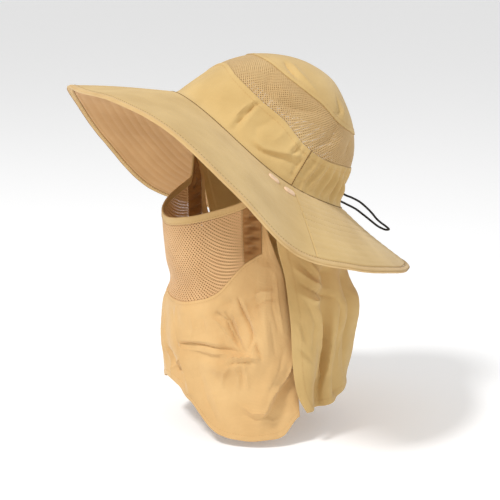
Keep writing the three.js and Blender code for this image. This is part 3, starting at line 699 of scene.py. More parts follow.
# %% Front panel, back panel and tip
FRONT_SPAN = (SEAM_ANGLE - SIDE_SEAM, SIDE_SEAM - SEAM_ANGLE)
BACK_SPAN = (SIDE_SEAM + SEAM_ANGLE, 360 - SIDE_SEAM - SEAM_ANGLE)
CROWN_WALL = 0.6
SEAM_PUCKERS = 150
LONG_RIPPLE, SHORT_RIPPLE = 46, 14
WIDE_GATHERS, SMALL_GATHERS, SLANTED_GATHERS = 19, 31, 17
CROWN_CREASING = 1.4
BACK_WIDTH = 246
PANEL_HEM, PANEL_HEM_HEIGHT = 4.5, 0.3
TOP_HEM, TOP_HEM_HEIGHT = 5.0, 0.35
FRONT_CREASES = [
    (1.7, -1.9, (50, 0.29), (46, 0.23), (45, 0.15), (46.5, 0.05)),
    (2.8, 1.6, (45.5, 0.29), (42.4, 0.2), (42, 0.14), (43.5, 0.04)),
    (3.4, 1.2, (48, 0.27), (48.5, 0.18), (50, 0.09)),
    (2.4, 1.3, (60, 0.085), (67.7, 0.082), (82.3, 0.141), (96, 0.185)),
    (2.0, -1.6, (62, 0.055), (68.5, 0.062), (84, 0.112), (97, 0.13)),
    (2.2, -1.6, (88.5, 0.236), (86, 0.15)), (3.0, 1.1, (84.5, 0.235), (82.5, 0.16)),
    (5.5, -1.0, (62, 0.25), (56, 0.15), (60, 0.09)), (6.0, 0.9, (20, 0.27), (28, 0.12)),
    (4.0, 0.8, (73, 0.23), (70, 0.15)), (2.5, -0.9, (93, 0.21), (94.5, 0.05)),
    (1.8, -2.0, (-43.4, 0.28), (-44.2, 0.176), (-46.4, 0.045)), (3.0, 1.4, (-40.4, 0.27), (-44, 0.04)),
    (2.6, 1.2, (-60, 0.08), (-80, 0.13), (-95, 0.16)),
    (2.4, -1.4, (-62, 0.055), (-84, 0.1), (-97, 0.12)), (3.0, -1.2, (-85, 0.24), (-90, 0.14)),
    (8.0, -0.9, (0, 0.3), (-10, 0.1)),
]
TIP_CREASES = [
    (1.8, -2.4, (30, 0.645), (34.6, 0.625), (44, 0.59), (54, 0.565)),
    (3.2, 1.5, (36, 0.665), (50, 0.62), (62, 0.6)), (3.5, 0.8, (62, 0.6), (80, 0.56)),
    (2.4, -1.4, (108, 0.5), (116, 0.56), (112, 0.64)), (3, 1.0, (118, 0.5), (124, 0.6)),
    (2.2, -1.6, (-36, 0.625), (-55, 0.565)), (3.2, 1.1, (-38, 0.66), (-60, 0.6)),
    (4, -0.8, (200, 0.55), (214, 0.62)),
]


def front_relief(A, B):
    """The placed creases, two sizes of ripples, a hem on top, and puckers and a hem at the side seam."""
    at = wall_place(A, B)
    x, y = A * CROWN_TURN, at * CROWN_STEP
    to_seam = SIDE_SEAM - np.abs(A)
    total = CROWN_CREASING * creases(FRONT_CREASES, A, at, (CROWN_TURN, CROWN_STEP))
    total += 0.7 * ripple(x, y, LONG_RIPPLE, 3)
    total += 0.25 * ripple(x, y, SHORT_RIPPLE, 4)
    rim = ramp(B, 0, 0.12) * ramp(1 - B, 0, 0.12) * ramp(to_seam, 0, 5)
    top = band_edge((band_foot(A) - at) * CROWN_STEP, TOP_HEM, TOP_HEM_HEIGHT)
    pucker = 0.55 * np.cos(at * SEAM_PUCKERS) * np.exp(-(to_seam / 4.5))
    side = band_edge(to_seam * CROWN_TURN, PANEL_HEM, PANEL_HEM_HEIGHT)
    return total * (0.15 + 0.85 * rim) + top + pucker * rim + side


def back_relief(A, B):
    """The gathers: two sizes of upright folds and one that slants, strongest above the brim."""
    share = (A - SIDE_SEAM) / (360 - 2 * SIDE_SEAM)
    fade = np.sin(np.pi * np.clip(B, 0, 1)) ** 0.7 * np.sin(np.pi * np.clip(share, 0, 1)) ** 0.25
    wander = 0.35 * np.sin(5 * B + 9 * share)
    wave = np.cos(2 * np.pi * (WIDE_GATHERS * share + 0.5 * wander))
    small = np.cos(2 * np.pi * (SMALL_GATHERS * share + 0.9 * wander) + 1.3) * ramp(1 - B, 0.1, 0.8)
    slant = np.cos(2 * np.pi * (SLANTED_GATHERS * share - 1.3 * B) + 0.4)
    at = wall_place(A, B)
    top = band_edge((band_foot(A) - at) * CROWN_STEP, TOP_HEM, TOP_HEM_HEIGHT)
    edge = np.minimum(share, 1 - share) * BACK_WIDTH
    pucker = 0.6 * np.cos(at * SEAM_PUCKERS) * np.exp(-edge / 7) * np.sin(np.pi * np.clip(B, 0, 1))
    gathers = 1.9 * wave - 1.8 + 0.8 * small + 1.3 * slant
    side = band_edge(edge, PANEL_HEM, PANEL_HEM_HEIGHT)
    return fade * (1.25 - 0.5 * B) * gathers + top + pucker + side


def tip_head(A):
    return band_head(A) + SEAM_SHARE


def tip_relief(A, B):
    """The creases above the net, which fade at the seam, gentle ripples, and a hem."""
    head = tip_head(A)
    at = between(head, 1, B)
    total = CROWN_CREASING * creases(TIP_CREASES, signed_angle(A), at, (1.0, CROWN_STEP))
    total = total * ramp(B, 0, 0.15)
    point = crown_point(A, at)
    total += 0.55 * ripple(point[..., 0], point[..., 1] - point[..., 2], 58, 11) * ramp(B, 0, 0.2)
    return total + band_edge((at - head) * CROWN_STEP, TOP_HEM, TOP_HEM_HEIGHT)


wall_rows = graded(0, 1, 36, 0.012)
front_panel = shell(
    "front_panel", crown_wall, graded(*FRONT_SPAN, 170, 0.4), wall_rows, CROWN_WALL, -CROWN_WALL, front_relief
)
settle(front_panel, "crown_front_panel", "cloth")
back_panel = shell(
    "back_panel", crown_wall, graded(*BACK_SPAN, 210, 0.4), wall_rows, CROWN_WALL, -CROWN_WALL, back_relief
)
settle(back_panel, "crown_back_panel", "cloth")


def round_steps(count):
    """Even steps once round, from 0 degrees."""
    return np.linspace(0, 360, count, endpoint=False)


tip_surface = strip(crown_point, tip_head, same(1))
tip_rows = np.array([0, 0.003, *np.linspace(0.01, 1, 40)])
tip = shell(
    "tip", tip_surface, round_steps(220), tip_rows, CROWN_WALL, -CROWN_WALL, tip_relief, closed=True,
    pole=True,
)
settle(tip, "crown_tip", "cloth")

# %% [markdown]
# ## Net with real holes
# The vents in the crown and the face of the cover are knitted net. A see-through material would do for
# one picture, but a mesh with real holes keeps its look in any program. A lattice of diamonds is laid
# on the surface in Python. Geometry Nodes then cuts a hole in each diamond: it extrudes every face on
# the spot, shrinks the new face and deletes it, which leaves the yarn.


# %% The net tree
def new_tree(name, inputs):
    """A tree that takes geometry and the named inputs. Returns it, its sockets and their identifiers."""
    tree = bpy.data.node_groups.new(name, "GeometryNodeTree")
    tree.interface.new_socket("Geometry", in_out="INPUT", socket_type="NodeSocketGeometry")
    names = {}
    for label, kind in inputs.items():
        socket = tree.interface.new_socket(label, in_out="INPUT", socket_type=f"NodeSocket{kind}")
        names[label] = socket.identifier
    tree.interface.new_socket("Geometry", in_out="OUTPUT", socket_type="NodeSocketGeometry")
    return tree, add(tree, "NodeGroupInput").outputs, names


def end_tree(tree, geometry, material):
    real = add(tree, "GeometryNodeRealizeInstances", [("Geometry", geometry)])
    solid = ("Geometry", real.outputs["Geometry"])
    dress = add(tree, "GeometryNodeSetMaterial", [solid, ("Material", material)])
    add(tree, "NodeGroupOutput", [("Geometry", dress.outputs["Geometry"])])


def net_tree():
    tree, given, names = new_tree("net holes", {"Hole share": "Float", "Yarn": "Material"})
    cut = add(tree, "GeometryNodeExtrudeMesh", [("Mesh", given["Geometry"])], mode="FACES", Offset_Scale=0.0)
    top = ("Selection", cut.outputs["Top"])
    shrink = add(tree, "GeometryNodeScaleElements", [
        ("Geometry", cut.outputs["Mesh"]), top, ("Scale", given["Hole share"]),
    ])
    small = ("Geometry", shrink.outputs["Geometry"])
    drop = add(tree, "GeometryNodeDeleteGeometry", [small, top], domain="FACE")
    end_tree(tree, drop.outputs["Geometry"], given["Yarn"])
    return tree, names


NET_TREE, NET_INPUTS = net_tree()
print("net tree:", len(NET_TREE.nodes), "nodes")


def make_plain(thing):
    """Turns the evaluated object into a plain mesh and removes its modifiers."""
    bpy.context.view_layer.update()
    ready = thing.evaluated_get(bpy.context.evaluated_depsgraph_get())
    mesh = bpy.data.meshes.new_from_object(ready)
    thing.modifiers.clear()
    thing.data = mesh
    return thing


def drop_loose_points(work):
    bmesh.ops.delete(work, geom=[v for v in work.verts if not v.link_faces], context="VERTS")


def net_piece(name, surface, across, along, closed, relief=None, hole=0.5, wall=0.6, flip=False):
    """Diamonds between every second node of a lattice of across by along places."""
    A, B = np.meshgrid(across, along, indexing="ij")
    base = surface(A, B)
    normal = surface_normals(surface, A, B, (0.01, 0.01), -1 if flip else 1)
    if relief:
        base = base + normal * relief(A, B)[..., None]
    nu, nv = A.shape
    faces, corners = [], []
    for i in range(0 if closed else 1, nu if closed else nu - 1):
        for j in range(1, nv - 1):
            if (i + j) % 2:
                ring = [((i - 1) % nu, j), (i, j - 1), ((i + 1) % nu, j), (i, j + 1)]
                faces.append([a * nv + b for a, b in (ring[::-1] if flip else ring)])
                corners += [(i - 1, j), (i, j - 1), (i + 1, j), (i, j + 1)]
    thing = mesh_piece(name, base.reshape(-1, 3), faces, corners)
    rework(thing, drop_loose_points)
    modifier = thing.modifiers.new("holes", "NODES")
    modifier.node_group = NET_TREE
    modifier[NET_INPUTS["Hole share"]] = hole
    modifier[NET_INPUTS["Yarn"]] = FINISH["net"]
    thick = thing.modifiers.new("wall", "SOLIDIFY")
    thick.thickness = wall * MM
    thick.offset = 0
    make_plain(thing)
    thing.data.polygons.foreach_set("use_smooth", [False] * len(thing.data.polygons))
    print(name, len(thing.data.polygons), "faces")
    return thing


# %% The net band of the crown
NET_PITCH = 1.5
NET_TUCK = 0.004
BAND_ROUND, BAND_TURN = 500, 1.3
band_surface = strip(crown_point, lambda A: band_foot(A) - NET_TUCK, lambda A: band_head(A) + NET_TUCK)
BAND_DENTS = [
    (4.5, -2.2, (52, 0.33), (66, 0.36), (80, 0.42), (90, 0.46)), (5.0, 1.2, (48, 0.42), (66, 0.44)),
    (4.5, -1.8, (112, 0.42), (108, 0.33), (101, 0.25)), (4.5, 1.2, (122, 0.4), (114, 0.27)),
    (4.0, -1.6, (138, 0.42), (134, 0.3)), (4.0, -1.5, (33, 0.5), (44, 0.34)),
    (5.0, -1.6, (-50, 0.34), (-84, 0.43)), (5.0, -1.5, (-112, 0.42), (-102, 0.26)),
    (5.0, 1.1, (170, 0.44), (182, 0.3)), (5.0, -1.4, (206, 0.44), (212, 0.3)),
]


def band_relief(A, B):
    at = between(band_foot(A), band_head(A), B)
    dents = creases(BAND_DENTS, signed_angle(A), at, (BAND_TURN, CROWN_STEP))
    dents = dents + creases(BAND_DENTS, np.mod(A, 360), at, (BAND_TURN, CROWN_STEP))
    fade = np.sin(np.pi * np.clip(B, 0, 1)) ** 0.7
    return (0.6 * dents + 0.5 * ripple(A * CROWN_TURN, B * 40, 40, 21)) * fade - 0.2


around = round_steps(2 * round(BAND_ROUND / NET_PITCH / 2))
band = net_piece("crown_net", band_surface, around, np.linspace(0, 1, 29), True, band_relief)
settle(band, "crown_mesh_band")

# %% [markdown]
# ## The brim
# Two layers of cloth with a soft filling are stitched together in rings, so the brim's underside swells
# between the rows. The rows show on the rear part of the upper side too. The upper layer is cut in two at
# the sides, and each piece is a shell whose outer face carries the quilting as real relief. The edge is
# wrapped in tape.

# %% Brim layers and edge tape
QUILT_ROWS, QUILT_POWER = 10.5, 0.55
QUILT_DEPTH, FRONT_QUILTING, REAR_QUILTING = 0.75, 0.1, 0.42


def seam_inset(angle):
    return brim_reach(angle) - BINDING_WIDTH


def brim_share(A, B):
    """How far out a place of the brim lies, from the crown at 0 to the tape at 1."""
    return between(-CLOTH_WALL, seam_inset(A), B) / seam_inset(A)


def quilt(share):
    """Soft rounds with a narrow valley at each row of stitches."""
    return np.abs(np.sin(np.pi * QUILT_ROWS * np.clip(share, 0, 1))) ** QUILT_POWER


def under_relief(A, B):
    share = brim_share(A, B)
    pull = 0.12 * np.sin(A * 1.9) + 0.1 * np.sin(A * 0.83 + 2)
    shape = ramp(share, 0, 0.04) * ramp(1 - share, 0, 0.02)
    return -(QUILT_DEPTH + pull) * quilt(share) * shape - 0.3 * ripple(A * 2.6, share * 100, 70, 31) * shape


def upper_relief(A, B):
    share = brim_share(A, B)
    rear = ramp(side_angle(A), SIDE_SEAM - 1, SIDE_SEAM + 3)
    shape = ramp(share, 0, 0.05) * ramp(1 - share, 0, 0.03)
    depth = between(FRONT_QUILTING, REAR_QUILTING, rear)
    seam = 0.35 * np.exp(-((np.abs(side_angle(A) - SIDE_SEAM) * 1.6 / 2.6) ** 2))
    return (depth * quilt(share) + 0.45 * ripple(A * 2.4, share * 105, 85, 32)) * shape + seam


def level(A, B):
    """No relief at any place."""
    return 0 * A


BRIM_MIDDLE = 0.15
brim_surface = strip(brim_point, same(-CLOTH_WALL), seam_inset)
brim_rows = graded(0, 1, 86, 0.008)
upper_front = shell(
    "brim_top_front", brim_surface, graded(*FRONT_SPAN, 190, 0.3), brim_rows, UPPER_TO, BRIM_MIDDLE,
    upper_relief, under=level, flip=True,
)
settle(upper_front, "brim_upper_front", "cloth")
upper_back = shell(
    "brim_top_back", brim_surface, graded(*BACK_SPAN, 150, 0.3), brim_rows, UPPER_TO, BRIM_MIDDLE,
    upper_relief, under=level, flip=True,
)
settle(upper_back, "brim_upper_back", "cloth")
under = shell(
    "brim_lining", brim_surface, round_steps(300), brim_rows, -BRIM_MIDDLE, UNDER_TO, relief=level,
    under=under_relief, flip=True, closed=True,
)
settle(under, "brim_under", "lining")


def tape_relief(A, B):
    """The tape rounds over the brim's edge, and the needle pulls it a little."""
    rounded = -1.4 * ramp(B, 0.62, 1) ** 2 - 0.25 * ramp(1 - B, 0.93, 1)
    return rounded + 0.06 * np.sin(A * 7.3) * ramp(B, 0, 0.5)


TAPE_WALL = 0.35
tape_surface = strip(brim_point, lambda A: seam_inset(A) + GAP, brim_reach)
tape = shell(
    "brim_tape", tape_surface, round_steps(360), graded(0, 1, 12, 0.06), UPPER_TO + TAPE_WALL,
    UNDER_TO - TAPE_WALL, tape_relief, under=lambda A, B: -tape_relief(A, B), flip=True, closed=True,
)
settle(tape, "brim_binding", "edging")

# %% [markdown]
# ## Tacks and the cord's patch
# Four small ovals of close stitching hold the brim's layers together at the sides, and one oval patch
# lets the cord out. A patch is a shell over a rounded ring, and satin stitches are ridges across it.

# %% Oval patches
TACKS = {"front": (82.5, 12.5), "rear": (93.5, 14.5)}
TACK_SIZE, OUTLET_SIZE, OUTLET_PLACE = (13, 7.5), (17, 12), 0.085
OVAL_POWER = 0.7
SIDES = {"left": 1, "right": -1}
PATCH_WALL = 1.2
OUTLET_LIFT = 1.2


def rounded_part(part):
    """A sine or cosine drawn outwards, which turns a round ring into one with fuller corners."""
    return np.sign(part) * np.abs(part) ** OVAL_POWER


def oval_surface(surface, angle, place, length, width):
    angle, place = np.array(float(angle)), np.array(float(place))
    per_angle = np.linalg.norm(surface(angle + 0.01, place) - surface(angle - 0.01, place)) / 0.02
    per_place = np.linalg.norm(surface(angle, place + 0.01) - surface(angle, place - 0.01)) / 0.02

    def at(turn, row):
        across = length / 2 * rounded_part(cos_deg(turn)) * (1 - row)
        along = width / 2 * rounded_part(sin_deg(turn)) * (1 - row)
        return surface(angle + across / per_angle, place + along / per_place)

    return at


def oval_patch(name, surface, angle, place, size, floor, relief, flip):
    rows = np.array([0, 0.02, 0.06, *np.linspace(0.12, 0.96, 14), 1])
    return shell(
        name, oval_surface(surface, angle, place, *size), round_steps(72), rows, floor + PATCH_WALL, floor,
        relief, under=level, closed=True, pole=True, flip=flip, sharp=80,
    )


def satin(A, B):
    """Stitches side by side: ridges across the oval, and a rounded edge."""
    x = rounded_part(cos_deg(A)) * (1 - B) * TACK_SIZE[0] / 2
    return 0.22 * np.abs(np.sin(np.pi * x / 0.85)) - 0.9 * (1 - ramp(B, 0, 0.22)) ** 2


for where, (angle, inset) in TACKS.items():
    for side, facing in SIDES.items():
        label = f"tack_{where}_{side}"
        tack = oval_patch(
            f"satin_{label}", brim_point, angle * facing, inset, TACK_SIZE, UPPER_TO + GAP, satin, True
        )
        settle(tack, label, "thread")


def outlet_relief(A, B):
    """A raised ring of stitching, and a rounded edge."""
    return 0.25 * np.exp(-(((B - 0.3) / 0.1) ** 2)) - 0.6 * (1 - ramp(B, 0, 0.2)) ** 2


outlet = oval_patch(
    "cord_patch", crown_point, 180, OUTLET_PLACE, OUTLET_SIZE, CROWN_WALL + OUTLET_LIFT, outlet_relief, False
)
settle(outlet, "cord_outlet", "edging")

# %% [markdown]
# ## The neck flap
# Thin cloth hangs from under the brim in long soft folds. The large folds come from the same table
# as the solid. Finer creases, a wider hem down the front edges and a narrow one below are laid on top.

# %% Neck flap
FLAP_CREASES = [
    (5.5, -7.0, (0.138, 0.48), (0.152, 0.7), (0.146, 0.86), (0.098, 1.0)),
    (2.4, 2.6, (0.1, 0.54), (0.112, 0.75), (0.108, 0.88)),
    (3.2, 2.2, (0.182, 0.54), (0.18, 0.7), (0.165, 0.84), (0.12, 0.97)),
    (1.6, 1.0, (0.02, 0.61), (0.036, 0.7)), (1.6, -1.0, (0.03, 0.6), (0.045, 0.68)),
    (1.6, -1.1, (0.026, 0.72), (0.057, 0.755)), (1.8, 1.0, (0.03, 0.75), (0.06, 0.785)),
    (2.4, 1.6, (0.045, 0.36), (0.1, 0.4), (0.19, 0.43)),
    (2.2, -1.6, (0.05, 0.42), (0.12, 0.45), (0.2, 0.47)),
    (2.0, 1.4, (0.1, 0.3), (0.14, 0.36), (0.18, 0.41)), (2.0, -1.4, (0.07, 0.33), (0.12, 0.38)),
    (2.4, 1.5, (0.05, 0.47), (0.09, 0.49), (0.15, 0.47)),
    (2.6, -1.5, (0.06, 0.5), (0.078, 0.6), (0.068, 0.72)),
    (4.5, -4.4, (0.215, 0.5), (0.222, 0.75), (0.205, 0.95)), (4.0, 1.6, (0.25, 0.52), (0.258, 0.85)),
    (5.5, -2.2, (0.3, 0.48), (0.29, 0.9)), (5.5, 1.5, (0.36, 0.5), (0.37, 0.9)),
    (5, -1.8, (0.43, 0.45), (0.42, 0.85)), (6, 1.6, (0.52, 0.5), (0.5, 0.95)),
    (5, -1.8, (0.6, 0.45), (0.61, 0.9)), (6, 1.6, (0.68, 0.5), (0.7, 0.95)),
    (5, -2.2, (0.76, 0.48), (0.79, 0.92)), (6, -3.4, (0.865, 0.55), (0.86, 0.8), (0.91, 1.0)),
    (3.2, 1.8, (0.82, 0.55), (0.83, 0.9)), (3, 1.6, (0.9, 0.55), (0.905, 0.85)),
    (2.4, 1.3, (0.95, 0.38), (0.82, 0.44)), (2.2, -1.3, (0.94, 0.44), (0.82, 0.48)),
    (1.8, -1.0, (0.975, 0.62), (0.95, 0.7)),
]
FLAP_WIDTH, FLAP_LENGTH = 300, 190
FLAP_CREASING = 1.4
FRONT_HEM, LOWER_HEM = 9.5, 5
THIN_WALL = 0.5


def flap_relief(A, B):
    x, y = A * FLAP_WIDTH, B * FLAP_LENGTH
    total = FLAP_CREASING * creases(FLAP_CREASES, A, B, (FLAP_WIDTH, FLAP_LENGTH))
    total += 0.8 * ripple(x, y, 38, 41) + 0.3 * ripple(x, y, 13, 42)
    total *= ramp(B, 0.02, 0.3)
    edge = np.minimum(A, 1 - A) * FLAP_WIDTH
    return total + band_edge(edge, FRONT_HEM, 0.4) + band_edge((1 - B) * FLAP_LENGTH, LOWER_HEM, 0.35)


flap = shell(
    "neck_cloth", flap_point, graded(0, 1, 260, 0.0016), graded(0, 1, 120, 0.003), THIN_WALL, -THIN_WALL,
    flap_relief, flip=True, step=(0.002, 0.002),
)
settle(flap, "neck_flap", "cloth")


def sheet_area(surface, across, along):
    """The area of a surface in square metres, and its greatest width and length in metres."""
    A, B = np.meshgrid(across, along, indexing="ij")
    point = surface(A, B) * MM
    u, v = np.diff(point, axis=0)[:, :-1], np.diff(point, axis=1)[:-1]
    area = np.linalg.norm(np.cross(u, v), axis=-1).sum()
    widest = np.linalg.norm(np.diff(point, axis=0), axis=-1).sum(0).max()
    longest = np.linalg.norm(np.diff(point, axis=1), axis=-1).sum(1).max()
    return float(area), float(widest), float(longest)


flap_area, flap_width, flap_length = sheet_area(flap_point, np.linspace(0, 1, 200), np.linspace(0, 1, 100))
print("flap flat size:", round(flap_width, 3), "by", round(flap_length, 3), "m, area", round(flap_area, 4))

# %% [markdown]
# ## The face cover
# The cover has an edge tape, a net front, two puckered gussets and a long skirt whose rear parts climb
# behind the gussets as the ear straps. The skirt and its straps are one piece of cloth. One grid would
# have to stretch round the net, so they are three shells that share columns, and their edges are joined.

# %% Skirt and ear straps
SEAM_ROOM = 0.5
BODY_HEAD = COVER_EDGE_STRIP + SEAM_ROOM
body_head = same(BODY_HEAD)
COVER_TURN = 1.55
COVER_CREASING = 1.5
COVER_HEM_WIDTH, COVER_HEAD_WIDTH = 5.5, 4
HEAD_FADE, FAR_BELOW = 14, 100
COVER_CREASES = [
    (1.4, -1.9, (13.7, 0.67), (24, 0.657), (35.9, 0.655), (48, 0.662), (59.6, 0.666)),
    (2.4, 1.2, (14, 0.688), (36, 0.676), (56, 0.684)),
    (2.4, 0.9, (14, 0.652), (36, 0.636), (50, 0.645)),
    (1.7, -2.0, (49, 0.53), (53.3, 0.561), (57.1, 0.613), (62.6, 0.664)),
    (2.2, 1.6, (53, 0.52), (57.5, 0.57), (61.5, 0.63)),
    (1.7, -1.7, (43, 0.53), (50, 0.56), (56, 0.62), (61, 0.668)),
    (2.2, 1.4, (40, 0.55), (48, 0.585), (55, 0.64)),
    (1.7, -2.2, (57, 0.47), (58.6, 0.494), (65, 0.56), (67.6, 0.6), (66.1, 0.645)),
    (2.2, 1.7, (61, 0.48), (68, 0.55), (71, 0.6)),
    (1.6, -1.7, (69.5, 0.625), (70.5, 0.65), (73.3, 0.691)),
    (2.0, 1.3, (67.5, 0.64), (68.5, 0.665), (71, 0.69)),
    (1.8, 2.6, (52, 0.699), (58, 0.69), (66.5, 0.68), (70, 0.686)),
    (1.6, -1.4, (51, 0.716), (58, 0.706), (66.5, 0.697)), (2.0, 1.0, (53, 0.72), (49, 0.75), (47, 0.8)),
    (2.0, 0.9, (56, 0.72), (58, 0.76), (58, 0.8)), (2.2, 1.0, (62, 0.71), (64, 0.75), (64, 0.8)),
    (1.8, -1.0, (60, 0.72), (61, 0.79)),
    (1.6, 1.3, (58, 0.868), (61.3, 0.877), (66, 0.893), (72, 0.891), (76, 0.882)),
    (2.2, -1.2, (60, 0.9), (68, 0.92), (75, 0.905)),
    (1.6, 2.6, (97, 0.64), (95.5, 0.684), (91, 0.75), (86.3, 0.795), (79, 0.83), (76, 0.868), (73.3, 0.891)),
    (4.2, -2.6, (97, 0.71), (93, 0.78), (88, 0.82), (82, 0.87), (78, 0.9)),
    (3.2, -1.6, (90, 0.66), (84, 0.76), (77, 0.82)), (1.8, 1.2, (73, 0.915), (80, 0.93), (90, 0.925)),
    (3.0, 2.2, (6.9, 0.524), (16.7, 0.673), (20, 0.76), (22.7, 0.846)),
    (4.5, -2.4, (1, 0.56), (9, 0.69), (13, 0.77), (15, 0.835)),
    (2.6, -1.6, (-8, 0.72), (2, 0.79), (12, 0.78)), (3.0, 1.6, (-14, 0.6), (-10, 0.72), (-4, 0.83)),
    (1.6, 1.2, (-6, 0.8), (4, 0.76), (12, 0.73)), (3.4, 1.0, (24, 0.54), (27, 0.6), (25, 0.64)),
    (3.0, -1.0, (33, 0.54), (36, 0.62)), (5.0, -1.2, (30, 0.74), (34, 0.86), (44, 0.95)),
    (4.0, 1.0, (38, 0.8), (46, 0.92)), (4.0, 1.3, (79, 0.36), (75, 0.5), (77, 0.66)),
    (3.2, -1.3, (72, 0.38), (69, 0.46), (73, 0.56)), (2.0, 1.4, (64.1, 0.476), (74, 0.44), (82, 0.44)),
    (2.0, -1.3, (68, 0.5), (77, 0.47), (86, 0.473)), (2.4, -1.4, (84, 0.4), (82, 0.5), (86, 0.58)),
    (2.2, 1.3, (88, 0.38), (87, 0.48), (90, 0.6)), (3, -1.2, (80, 0.56), (83, 0.68)),
    (4, 1.4, (-20, 0.6), (-14, 0.82)), (4, -1.6, (-34, 0.56), (-44, 0.82)),
    (4, 1.6, (-50, 0.52), (-60, 0.84)), (4, -1.6, (-70, 0.55), (-74, 0.85)),
    (4, 1.4, (-84, 0.5), (-80, 0.84)), (2, -1.4, (-40, 0.7), (-66, 0.68), (-80, 0.7)),
]


def cover_relief_at(A, below):
    z = cover_point(A, below)[..., 2]
    drop = -z / COVER_DROP
    x, y = A * COVER_TURN, drop * COVER_DROP
    total = COVER_CREASING * creases(COVER_CREASES, A, drop, (COVER_TURN, COVER_DROP))
    return total + 0.7 * ripple(x, y, 34, 51) + 0.3 * ripple(x, y, 12, 52)


def strap_waist(A):
    """The level below the net, and straight on below the ear straps."""
    inner = np.clip(A, -STRAP_FRONT, STRAP_FRONT)
    return below_top(A, cover_point(inner, net_foot(inner) + SEAM_ROOM)[..., 2])


def on_strap(A):
    return np.abs(A) > STRAP_FRONT - 0.01


def skirt_relief_at(A, below):
    """The cover's creases, a hem below, and a hem on top where the net is sewn on."""
    behind = ramp(np.abs(A), STRAP_FRONT - 6, STRAP_FRONT + 4)
    waist, hem = strap_waist(A), cover_hem(A)
    fade = ramp(below - waist * (1 - behind), 0, HEAD_FADE) * (1 - 0.25 * behind)
    head = band_edge(below - waist + FAR_BELOW * behind, COVER_HEAD_WIDTH, 0.3) * (behind < 0.02)
    return cover_relief_at(A, below) * fade + band_edge(hem - below, COVER_HEM_WIDTH, 0.35) + head


def skirt_relief(A, B):
    return skirt_relief_at(A, between(strap_waist(A), cover_hem(A), B))


def strap_relief(A, B):
    return skirt_relief_at(A, between(body_head(A), strap_waist(A), B))


BEHIND_FLAP = 3.5
FINE_FROM = -20
strap_columns = np.array([*np.linspace(STRAP_FRONT, COVER_REAR - 0.3, 26), COVER_REAR - 0.1, COVER_REAR])
far_columns = np.linspace(-STRAP_FRONT, FINE_FROM, 56)[1:-1]
front_columns = np.concatenate([far_columns, np.linspace(FINE_FROM, STRAP_FRONT, 186)[:-1]])
skirt_columns = np.concatenate([-strap_columns[::-1], front_columns, strap_columns])


def skirt_surface(A, B):
    """The rear edges reach a little way in behind the neck flap, low down."""
    behind = ramp(np.abs(A), STRAP_FRONT + 8, COVER_REAR) * ramp(B, 0.45, 0.75)
    return cover_point(A + BEHIND_FLAP * np.sign(A) * behind, between(strap_waist(A), cover_hem(A), B))


FINE_STEP = (0.002, 0.004)
skirt = shell(
    "cover_cloth", skirt_surface, skirt_columns, graded(0, 1, 130, 0.004), THIN_WALL, -THIN_WALL,
    skirt_relief, flip=True, step=FINE_STEP, joined={"low": on_strap},
)
strap_surface = strip(cover_point, body_head, strap_waist)
straps = []
for side, facing in SIDES.items():
    columns = strap_columns if facing > 0 else -strap_columns[::-1]
    corner = slice(0, 2) if facing > 0 else slice(-2, None)
    straps.append(shell(
        f"strap_{side}", strap_surface, columns, graded(0, 1, 70, 0.006), THIN_WALL, -THIN_WALL, strap_relief,
        flip=True, step=FINE_STEP, joined={"high": on_strap, "corner": corner},
    ))


def merge_into(piece, others, reach=0.06):
    """Joins meshes into one and closes the seam where their edges meet."""

    def join(work):
        for other in others:
            work.from_mesh(other.data)
            bpy.data.objects.remove(other)
        bmesh.ops.remove_doubles(work, verts=work.verts, dist=reach * MM)
        return sum(len(edge.link_faces) == 1 for edge in work.edges)

    print(piece.name, "joined,", rework(piece, join), "open edges")


merge_into(skirt, straps)
settle(skirt, "cover_skirt", "cover_cloth")


def sheet_head(A):
    return np.where(np.abs(A) > STRAP_FRONT, BODY_HEAD, net_foot(A))


whole_sheet = strip(cover_point, sheet_head, cover_hem)
skirt_area, skirt_width, skirt_length = sheet_area(
    whole_sheet, np.linspace(-COVER_REAR, COVER_REAR, 300), np.linspace(0, 1, 100)
)
print("skirt flat:", round(skirt_width, 3), "by", round(skirt_length, 3), "m, area", round(skirt_area, 4))

# %% [markdown]
# ## The front of the face cover
# The wearer breathes through the net, and a tape keeps its upper edge. A small gusset on each side is
# sewn in with its cloth bunched up, which gives the cover room in front of the ear. Bunched cloth could be
# simulated, but waves across a narrow strip look the same and stay inside their seams.


# %% Face net, edge tape and gussets
def mask_relief(A, B):
    """Gentle waves, and a soft pleat on each side of the nose."""
    fade = np.sin(np.pi * np.clip(B, 0, 1))
    side = 0.9 * np.exp(-(((np.abs(A) - 30) / 5) ** 2)) * ramp(B, 0.2, 0.9)
    return (0.7 * ripple(A * CROWN_TURN, B * 85, 45, 61) + side) * fade


NET_LAP, FOOT_LAP = 1.2, 1.6
net_front = strip(cover_point, same(BODY_HEAD - NET_LAP), lambda A: net_foot(A) + FOOT_LAP)
face_net = net_piece(
    "face_net", net_front, np.linspace(-MESH_SIDE - 0.4, MESH_SIDE + 0.4, 99), np.linspace(0, 1, 41), False,
    mask_relief, flip=True,
)
settle(face_net, "cover_mesh", "face_yarn")


def edge_relief(A, B):
    """A rounded upper edge, small pulls of the needle, and the cloth's unevenness below."""
    rounded = -0.3 * (1 - ramp(B, 0, 0.2)) ** 2
    pulls = 0.1 * np.sin(A * 6) * np.sin(np.pi * B)
    return rounded + pulls + 0.5 * ripple(A * CROWN_TURN, B * 7, 40, 62) * B


